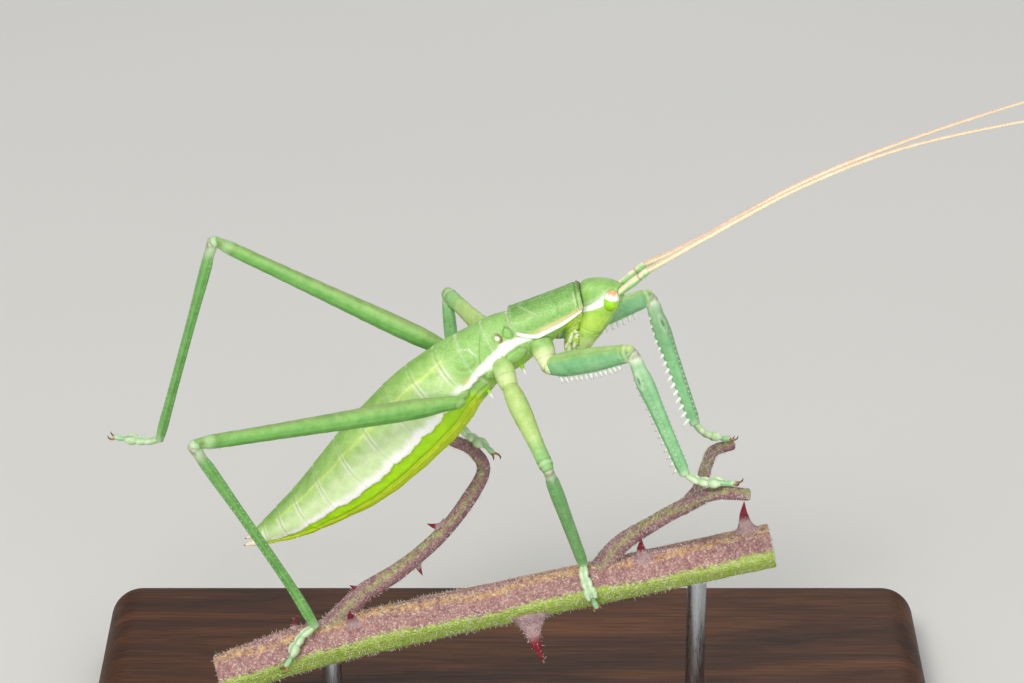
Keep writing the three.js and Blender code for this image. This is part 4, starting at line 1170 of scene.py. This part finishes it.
legShape = {  # half heights from root to end, width over height, cream and leaf green of the coxa
    "front": {
        "coxa": [1.3, 1.28, 1.1, 0.85],
        "femur": [1.0, 1.25, 1.36, 1.4, 1.42, 1.4, 1.38, 1.33, 1.26, 1.18, 1.1, 1.08, 0.85],
        "tibia": [0.72, 0.86, 0.86, 1.0, 1.04, 1.0, 0.92, 0.88, 0.85, 0.82, 0.79, 0.76, 0.74, 0.72, 0.70,
                  0.6],
        "slim": 0.8, "creamy": 0.85, "leafy": 0.0},
    "mid": {
        "coxa": [1.1, 1.2, 1.15, 1.05],
        "femur": [0.9, 1.12, 1.22, 1.26, 1.24, 1.18, 1.1, 1.02, 0.96, 0.92, 0.9, 0.92, 0.75],
        "tibia": [0.6, 0.72, 0.78, 0.82, 0.80, 0.76, 0.74, 0.72, 0.70, 0.68, 0.66, 0.66, 0.6],
        "slim": 0.92, "creamy": 0.3, "leafy": 0.0, "spines": 26},
    "hind": {
        "coxa": [0.5, 0.52, 0.5, 0.5],
        "femur": [0.78, 0.92, 1.14, 1.2, 1.2, 1.17, 1.12, 1.07, 1.02, 0.98, 0.93, 0.9, 0.86, 0.86, 0.84,
                  0.6],
        "tibia": [0.66, 0.62, 0.62, 0.6, 0.55, 0.52, 0.51, 0.50, 0.50, 0.50, 0.50, 0.51, 0.53, 0.55, 0.48],
        "slim": 0.84, "creamy": 0.0, "leafy": 1.0, "spines": 38},
}
hindFemurShort = 0.35  # the hind femur stops short of the knob of its tibia
# Rows of teeth on the front legs: count, from and to along the limb, first and last length, half width
teethRows = {"femur": (13, 0.09, 0.80, 0.88, 0.76, 0.25), "tibia": (15, 0.14, 0.95, 0.38, 0.92, 0.33)}
teethLean = {"femur": 0.0, "tibia": 0.45}
teethSunk = 0.3
# Finer rows in the same terms: pale dots of the front tibiae, spines of the middle and hind femora
fineRows = {"dots": (20, 0.2, 0.95, 0.13, 0.17, 0.12), "femur": (16, 0.3, 0.9, 0.16, 0.2, 0.06)}
tibiaSpines = {"first": 0.06, "last": 0.97, "under": 0.24, "over": 0.2, "half": 0.06}
spineLean = 0.8
footShape = {
    "half": 0.62, "lift": 0.72,  # lift: from the surface of the cane to the middle of the foot
    "cuts": [0.0, 0.27, 0.47, 0.70, 1.0],  # where its joints meet, as shares of its length
    "around": (0.3, 0.55, 0.78, 1),  # shares of the way round the cane
    "shapes": [[0.62, 0.8, 0.9, 1.0, 0.8], [0.6, 0.85, 1.05, 0.8], [0.6, 0.95, 1.3, 1.25, 0.8],
               [0.5, 0.42, 0.45, 0.55, 0.5]],
    # ahead of the end of the foot, outwards and upwards
    "claw": [(-0.1, 0.10, 0.0), (0.30, 0.34, 0.14), (0.66, 0.46, -0.02), (0.78, 0.44, -0.36)],
    "clawHalf": [0.17, 0.15, 0.12, 0.08, 0.03],
}


def hingeOf(leg):
    hip, knee, ankle = (np.array(leg[k]) for k in ("hip", "knee", "ankle"))
    return unit(np.cross(knee - hip, ankle - knee))


def footPath(leg):
    if "foot" in leg:
        return [leg["ankle"]] + leg["foot"]
    at, drift, first, last = leg["around"]
    distance = cane["half"] + footShape["lift"]
    return [leg["ankle"]] + [
        tuple(besideCane(caneAt(at + drift * t), first + (last - first) * t, distance)[0])
        for t in footShape["around"]]


# Spikes along a limb: how many, from and to along it, the first and last length, the half width, the
# limb's half heights, how far they lean towards its end and how deep they are rooted.
def spikeRow(start, end, outward, count, first, last, low, high, half, halves, lean=0.0, sink=0.12):
    start, end, outward = np.array(start, float), np.array(end, float), np.array(outward, float)
    ahead = unit(end - start)
    row = []
    for k in range(count):
        share = k / (count - 1)
        place = first + (last - first) * share
        length = low + (high - low) * share
        depth = smoothLine(halves, np.array([place]))[0, 0]
        stem = start + (end - start) * place + outward * (depth - sink)
        row.append((stem, unit(outward + ahead * lean), length + sink, half))
    return row


def spikesPiece(name, master, row):  # copies of one spike, each set at its place
    copies = []
    for stem, toward, length, half in row:
        copy = copyPiece(master)
        turn = Vector((0, 0, 1)).rotation_difference(Vector(toward)).to_matrix().to_4x4()
        size = Matrix.Diagonal((half, half, length, 1))
        copy.data.transform(Matrix.Translation(Vector(stem) * mm) @ turn @ size)
        copies.append(copy)
    return joinPieces(name, copies)


# One spike, a unit tall and in radius, standing on the origin; blunt is the radius of its tip.
def spikeMaster(name, sides, blunt, pale=0.0):
    clearSelection()
    bpy.ops.mesh.primitive_cone_add(vertices=sides, radius1=mm, radius2=blunt * mm, depth=mm,
                                    location=(0, 0, 0.5 * mm))
    piece = bpy.context.object
    piece.name = name
    bpy.ops.object.transform_apply(location=True)
    editAll(piece)
    bpy.ops.mesh.subdivide(number_cuts=1)
    bpy.ops.object.mode_set(mode="OBJECT")
    height = placesOf(piece.data)[:, 2] / mm
    paintMarks(piece.data, {
        "tip": np.clip((height - 0.7) / 0.3, 0, 1),
        "root": 0.6 * np.clip((0.6 - height) / 0.3, 0, 1),
        "pale": pale + 0 * height})
    return piece


toothMaster = spikeMaster("toothMaster", 12, 0.62)
bladeMaster = spikeMaster("bladeMaster", 10, 0.16)
dotMaster = spikeMaster("dotMaster", 8, 0.5, 0.9)
spineMaster = spikeMaster("spineMaster", 6, 0.12, 0.3)


def coxaMarks(pair):
    creamy, leafy = legShape[pair]["creamy"], legShape[pair]["leafy"]

    def marks(along, angle, length):
        return {"yellow": (1 - leafy) * (0.5 + 0.45 * rise(along, 0.1, 0.5)) + 0.45 * leafy,
                "grass": 0.8 - 0.8 * (1 - leafy) * rise(along, 0.1, 0.5),
                "cream": creamy * (0.3 + 0.7 * rise(along, 0.2, 0.8)) * rise(along, 0.15, 0.4),
                "pale": 0.5 * creamy * hump(along, 0.7, 0.3),
                # painted shade in the ring groove of the coxa
                "groove": 0.25 * hump(along, 0.62, 0.02)}
    return marks


def coxaDetail(along, angle, length):
    return -0.04 * hump(along, 0.62, 0.04) + 0.03 * np.sin(angle * 3)


def kneeMarks(along, angle, length):
    return {"pale": 0.5 + 0 * along, "brown": 0.55 * hump(along, 0.4, 0.25) * (np.cos(angle) > -0.3)}


def femurMarks(pair):
    def marks(along, angle, length):
        top = np.cos(angle)
        knee = rise(along, 0.90, 0.94)
        found = {"pale": 0.25 * hump(along, 0.955, 0.02) + 0.85 * knee * hump(top, -0.85, 0.3),
                 "brown": 0.6 * hump(along, 0.98, 0.012) * hump(top, 0.45, 0.35)
                 + 0.3 * hump(along, 0.925, 0.005) * (top > -0.5),
                 # painted shade in the crease at the knee
                 "groove": 0.25 * hump(along, 0.915, 0.006) * (top > 0)}
        if pair == "front":
            found["blue"] = (1 - 0.6 * knee) * (1 - rise(top, 0.2, 0.95))
            found["yellow"] = 0.6 * rise(top, 0.3, 0.95) + 0.35 * knee
            found["brown"] = found["brown"] + 0.25 * hump(top, 0.78, 0.06) * band(along, 0.15, 0.85, 0.1)
        elif pair == "mid":
            found["yellow"] = 0.95 * (1 - rise(along, 0.5, 0.95)) + 0.2
        else:
            found["grass"] = 0.95 + 0 * along
            found["yellow"] = 0.35 * rise(top, 0.1, 0.8) * (1 - 0.6 * along)
            found["brown"] = found["brown"] + 0.3 * rise(top, 0.86, 0.98) * band(along, 0.1, 0.9, 0.1)
            # painted shade in the long grooves of the hind femur
            lines = ((0.35, 0.2, 0.05), (0.35, -0.25, 0.04), (0.25, -0.6, 0.05))
            found["groove"] = found["groove"] + sum(depth * hump(top, at, wide) for depth, at, wide in lines)
        return found
    return marks


tibiaGreens = {"front": (0.9, 0.0), "mid": (0.5, 0.4), "hind": (0.25, 0.75)}  # blue, grass


def hearingSlit(along, top):  # distance from the slit of a front tibia, 1 at its rim
    return np.hypot((along - 0.2) / 0.045, top / 0.22)


def tibiaMarks(pair):
    def marks(along, angle, length):
        top = np.cos(angle)
        found = {"pale": 0.6 * (1 - rise(along, 0.03, 0.1)) + 0.35 * rise(along, 0.95, 1.0),
                 "brown": 0.5 * hump(along, 0.015, 0.02) * (top > 0.2),
                 # painted shade along the groove on the upper side
                 "groove": 0.25 * hump(top, 0.6, 0.07) * band(along, 0.1, 0.95, 0.05)}
        found["blue"], found["grass"] = (v + 0 * along for v in tibiaGreens[pair])
        if pair == "front":
            slit = hearingSlit(along, top)
            frontFace = np.where(np.abs(top) < 0.6, 1, 0)
            # painted shade in the sunken hearing slit
            found["groove"] = found["groove"] + 0.9 * (1 - rise(slit, 0.3, 0.7)) * frontFace
            found["pale"] = found["pale"] + 0.35 * hump(slit, 1.4, 0.35) * frontFace
            found["pale"] = found["pale"] + 0.25 * (1 - rise(along, 0.1, 0.35))
        return found
    return marks


def femurDetail(along, angle, length):
    top = np.cos(angle)
    side = np.abs(np.sin(angle))
    extra = 0.05 * hump(top, -1, 0.12) * band(along, 0.08, 0.86, 0.04) - 0.05 * hump(top, -0.8, 0.1)
    extra = extra - 0.03 * hump(top, 0.12, 0.06) - 0.03 * hump(top, -0.42, 0.06)
    extra = extra - 0.04 * hump(along, 0.915, 0.010) + 0.05 * hump(along, 0.955, 0.02) * side
    return extra + 0.012 * np.sin(along * 90 + angle * 2)


def tibiaDetail(pair):
    def detail(along, angle, length):
        square = 0.06 * np.cos(angle * 4) * band(along, 0.06, 0.97, 0.04)
        extra = -0.10 * hump(along, 0.075, 0.025) * (np.cos(angle) < 0.3) + square
        if pair == "front":
            slit = hearingSlit(along, np.cos(angle))
            extra = extra - 0.16 * (1 - rise(slit, 0.25, 0.9)) + 0.05 * hump(slit, 1.35, 0.3)
        return extra
    return detail


def lobeMarks(along, angle, length):
    return {"pale": 0.35 + 0.35 * hump(along, 0.85, 0.2) + 0.1 * np.cos(angle),
            "yellow": 0.3 + 0 * along, "brown": 0.4 * hump(along, 0.03, 0.05)}


def lastJointMarks(along, angle, length):
    return {"pale": 0.2 + 0.4 * rise(along, 0.8, 1), "blue": 0.6 + 0 * along,
            "brown": 0.3 * rise(along, 0.9, 1)}


def footPieces(path, hinge):  # three lobed joints, and a slim last one with two claws
    path = np.array(path, float)
    fine = smoothLine(path, np.linspace(0, 1, 200))
    reached = np.concatenate([[0], np.cumsum(np.linalg.norm(np.diff(fine, axis=0), axis=1))])
    ends = [np.array([np.interp(share * reached[-1], reached, fine[:, k]) for k in range(3)])
            for share in footShape["cuts"]]
    half = footShape["half"]
    pieces, claws = [], []
    for k, (start, end, shape) in enumerate(zip(ends[:-1], ends[1:], footShape["shapes"])):
        ahead = unit(end - start)
        up = unit(np.cross(hinge, ahead))
        middle = (start + end) / 2
        size = [value * half for value in shape]
        if k < len(footShape["shapes"]) - 1:  # a lobe on each side and a bridge between them
            for side in (-1, 1):
                shift = hinge * side * half * (0.40 + 0.12 * k)
                pieces.append(tubePiece(
                    "lobe", [start - ahead * 0.05, middle + shift, end + shift * 1.05 + ahead * 0.18],
                    [v * 0.62 for v in size], sides=20, rings=34, hinge=hinge, slim=0.8, marks=lobeMarks))
            pieces.append(tubePiece(
                "bridge", [start, end], [v * 0.55 for v in size], sides=18, rings=24, hinge=hinge, slim=1.3,
                marks=lambda along, angle, length: {"pale": 0.35 + 0 * along, "blue": 0.6 + 0 * along}))
            continue
        pieces.append(tubePiece("last", [start - ahead * 0.1, middle + up * 0.12, end], size, sides=20,
                                rings=34, hinge=hinge, marks=lastJointMarks))
        for side in (-1, 1):
            out = hinge * side
            route = [end + ahead * forth + out * aside + up * above
                     for forth, aside, above in footShape["claw"]]
            claws.append(tubePiece("claw", route, footShape["clawHalf"], sides=16, rings=30, hinge=out,
                                   marks=lambda along, angle, length: {"tip": rise(along, 0.35, 0.8)}))
    return pieces, claws


# Teeth under the femur of a front leg, blades under its tibia, and dots along the tibia's upper edges.
def toothRows(limbs, hinge, shape):
    teeth, blades = (
        spikeRow(start, end, way, *teethRows[limb], shape[limb], lean=teethLean[limb], sink=teethSunk)
        for limb, (start, end, way) in limbs.items())
    knee, ankle, under = limbs["tibia"]
    dots = []
    for shift in (-1, 1):
        dots += spikeRow(knee, ankle, unit(hinge * shift - under * 0.55), *fineRows["dots"],
                         [v * 0.93 for v in shape["tibia"]], lean=0.3)
    return teeth, blades, dots


def spineRows(limbs, hinge, shape, shin):  # fine spines along the edges of a middle or hind leg
    hip, knee, inward = limbs["femur"]
    _, ankle, under = limbs["tibia"]
    joints = [knee, np.array(shin), ankle] if shin else [knee, ankle]
    spans = np.linalg.norm(np.diff(np.array(joints), axis=0), axis=1)
    full = spans.sum()
    row = []
    for shift in (-1, 1):
        for way, high in ((under, tibiaSpines["under"]), (-under, tibiaSpines["over"])):
            outward = unit(way + hinge * shift * 0.7)
            reached = 0.0
            for start, end, span in zip(joints[:-1], joints[1:], spans):
                stretch = np.linspace(reached / full, (reached + span) / full, 9)
                profile = smoothLine(shape["tibia"], stretch)[:, 0] * 0.97
                count = max(int(shape["spines"] * span / full), 3)
                row += spikeRow(start, end, outward, count, tibiaSpines["first"], tibiaSpines["last"],
                                high * 0.7, high, tibiaSpines["half"], profile, lean=spineLean)
                reached += span
        row += spikeRow(hip, knee, unit(inward + hinge * shift * 0.4), *fineRows["femur"],
                        [v * 0.97 for v in shape["femur"]], lean=spineLean, sink=0.1)
    return row


def legTubes(leg, hinge, shape):
    pair = leg["pair"]
    hip, knee, ankle, root = (np.array(leg[k], float) for k in ("hip", "knee", "ankle", "root"))
    thigh, shank = unit(knee - hip), unit(ankle - knee)
    short = hindFemurShort if pair == "hind" else 0.0
    return [
        tubePiece("coxa", [root - unit(hip - root) * 0.2, hip], shape["coxa"], sides=32, rings=44,
                  hinge=hinge, marks=coxaMarks(pair), detail=coxaDetail),
        tubePiece("trochanter", [hip - thigh * 0.3, hip + thigh * 0.7],
                  [shape["femur"][0] * v for v in (0.75, 0.92, 0.92, 0.8)], sides=28, rings=30, hinge=hinge,
                  marks=coxaMarks(pair)),
        tubePiece("femur", [hip + thigh * 0.2, knee - thigh * short], shape["femur"], sides=44, rings=170,
                  hinge=hinge, slim=shape["slim"], caps=(0.55, 0.45), capShare=0.03, detail=femurDetail,
                  marks=femurMarks(pair)),
        tubePiece("kneeSkin", [knee - thigh * 0.25, knee + shank * 0.45], [shape["tibia"][0] * 1.02] * 3,
                  sides=24, rings=24, hinge=hinge, marks=kneeMarks),
        tubePiece("tibia", [knee + shank * 0.15] + ([leg["shin"]] if "shin" in leg else []) + [ankle],
                  shape["tibia"], sides=36, rings=190, hinge=hinge, slim=0.92, caps=(0.6, 0.5),
                  capShare=0.03, detail=tibiaDetail(pair), marks=tibiaMarks(pair)),
    ]


def legPiece(name, leg):
    shape = legShape[leg["pair"]]
    hinge = hingeOf(leg)
    hip, knee, ankle = (np.array(leg[k], float) for k in ("hip", "knee", "ankle"))
    limbs = {  # start, end and the side that closes when the leg bends
        "femur": (hip, knee, unit(np.cross(hinge, knee - hip))),
        "tibia": (knee, ankle, unit(np.cross(hinge, ankle - knee)))}
    tubes = legTubes(leg, hinge, shape)
    toes, claws = footPieces(footPath(leg), hinge)
    finishPiece(joinPieces(f"leg_{name}", tubes + toes), legSkin,
                tuple(f"{part}_{name}" for part in ("coxa", "femur", "tibia", "tarsus")))
    if leg["pair"] == "front":
        teeth, blades, small = toothRows(limbs, hinge, shape)
        pegs = spikesPiece("pegs", toothMaster, teeth)
        finishPiece(joinPieces(f"teeth_{name}", [pegs, spikesPiece("blades", bladeMaster, blades)]),
                    ivory)
        spines = spikesPiece(f"spines_{name}", dotMaster, small)
    else:
        small = spineRows(limbs, hinge, shape, leg.get("shin"))
        spines = spikesPiece(f"spines_{name}", spineMaster, small)
    finishPiece(spines, legSkin)
    finishPiece(joinPieces(f"claws_{name}", claws), clawHorn)


for name, leg in legs.items():
    legPiece(name, leg)
    print("leg made:", name)
for master in (toothMaster, bladeMaster, dotMaster, spineMaster):
    bpy.data.objects.remove(master)


# Stand

stand = {
    "long": 98, "wide": 56, "tall": 8, "corner": 3.8, "edge": 0.8, "rod": 1.1, "rodX": (-20.5, 21.0),
    "sunk": 3.0,  # into the base
    "below": 1.2,  # from the middle of the cane down to the end of a rod
    "ferrule": 2.0, "ferruleTall": 1.6, "bedded": 0.02,
}


def basePiece():
    clearSelection()
    bpy.ops.mesh.primitive_cube_add(size=1, location=(0, 0, stand["tall"] / 2 * mm))
    piece = bpy.context.object
    piece.name = "base"
    bpy.ops.transform.resize(value=(stand["long"] * mm, stand["wide"] * mm, stand["tall"] * mm))
    bpy.ops.object.transform_apply(location=True, rotation=True, scale=True)
    editAll(piece)
    bpy.ops.mesh.select_all(action="DESELECT")
    bpy.ops.object.mode_set(mode="OBJECT")
    for edge in piece.data.edges:
        a, b = (piece.data.vertices[k].co for k in edge.vertices)
        edge.select = abs(a.z - b.z) > 0.5 * stand["tall"] * mm
    bpy.ops.object.mode_set(mode="EDIT")
    bpy.ops.mesh.bevel(offset=stand["corner"] * mm, segments=12, affect="EDGES")
    bpy.ops.object.mode_set(mode="OBJECT")
    bevelEdges(piece, stand["edge"], 5, 60)
    finishPiece(piece, walnutWood, ("stand_base",), smoothAngle=35)


def roundBar(vertices, half, low, high, centre, edge, segments):  # upright, with rounded ends
    clearSelection()
    bpy.ops.mesh.primitive_cylinder_add(vertices=vertices, radius=half * mm, depth=(high - low) * mm,
                                        location=(centre[0] * mm, centre[1] * mm, (high + low) / 2 * mm))
    bar = bpy.context.object
    bpy.ops.object.transform_apply(location=True)
    bevelEdges(bar, edge, segments, 60)
    return bar


def rodPiece(name, x):  # a rod up into the cane, with a ferrule at its foot
    centre = np.array([np.interp(caneAt(x), caneReached, caneLine[:, k]) for k in range(3)])
    tall, sole = stand["tall"], stand["tall"] - stand["bedded"]
    rod = roundBar(48, stand["rod"], tall - stand["sunk"], centre[2] - stand["below"], centre, 0.15, 3)
    ferrule = roundBar(64, stand["ferrule"], sole, sole + stand["ferruleTall"], centre, 0.5, 6)
    finishPiece(joinPieces(name, [rod, ferrule]), brushedSteel, (f"stand_{name}",), smoothAngle=35)


basePiece()
for name, x in zip(("rod_hind", "rod_front"), stand["rodX"]):
    rodPiece(name, x)
print("stand made")


# Floor and lights

clearSelection()
bpy.ops.mesh.primitive_plane_add(size=6, location=(0, 0, 0))
floor = bpy.context.object
floor.name = "floor"
floor.data.materials.append(paleFloor)

lampTarget = Vector((0, 0, 0.045))
skyColour, skyStrength = "e6e8ea", 0.42
lamps = {  # place in metres, size, watts, colour
    "key": ((-0.22, -0.48, 0.64), 0.30, 4.6, (1.0, 0.98, 0.95)),
    "fill": ((0.5, -0.6, 0.28), 0.5, 1.5, (0.96, 0.98, 1.0)),
    "low": ((-0.05, -0.75, 0.08), 0.35, 1.7, (1.0, 1.0, 1.0)),
    "back": ((0.1, 0.6, 0.6), 0.5, 1.7, (1.0, 1.0, 1.0)),
}
for name, (place, size, watts, colour) in lamps.items():
    lamp = bpy.data.objects.new(name, bpy.data.lights.new(name, "AREA"))
    bpy.context.scene.collection.objects.link(lamp)
    lamp.location = place
    lamp.rotation_euler = (lampTarget - Vector(place)).to_track_quat("-Z", "Y").to_euler()
    lamp.data.size = size
    lamp.data.energy = watts
    lamp.data.color = colour
sky = bpy.data.worlds.new("sky")
sky.use_nodes = True
sky.node_tree.nodes["Background"].inputs["Color"].default_value = tint(skyColour)
sky.node_tree.nodes["Background"].inputs["Strength"].default_value = skyStrength
bpy.context.scene.world = sky
bpy.context.scene.view_settings.view_transform = "Standard"
print("floor and lights made")
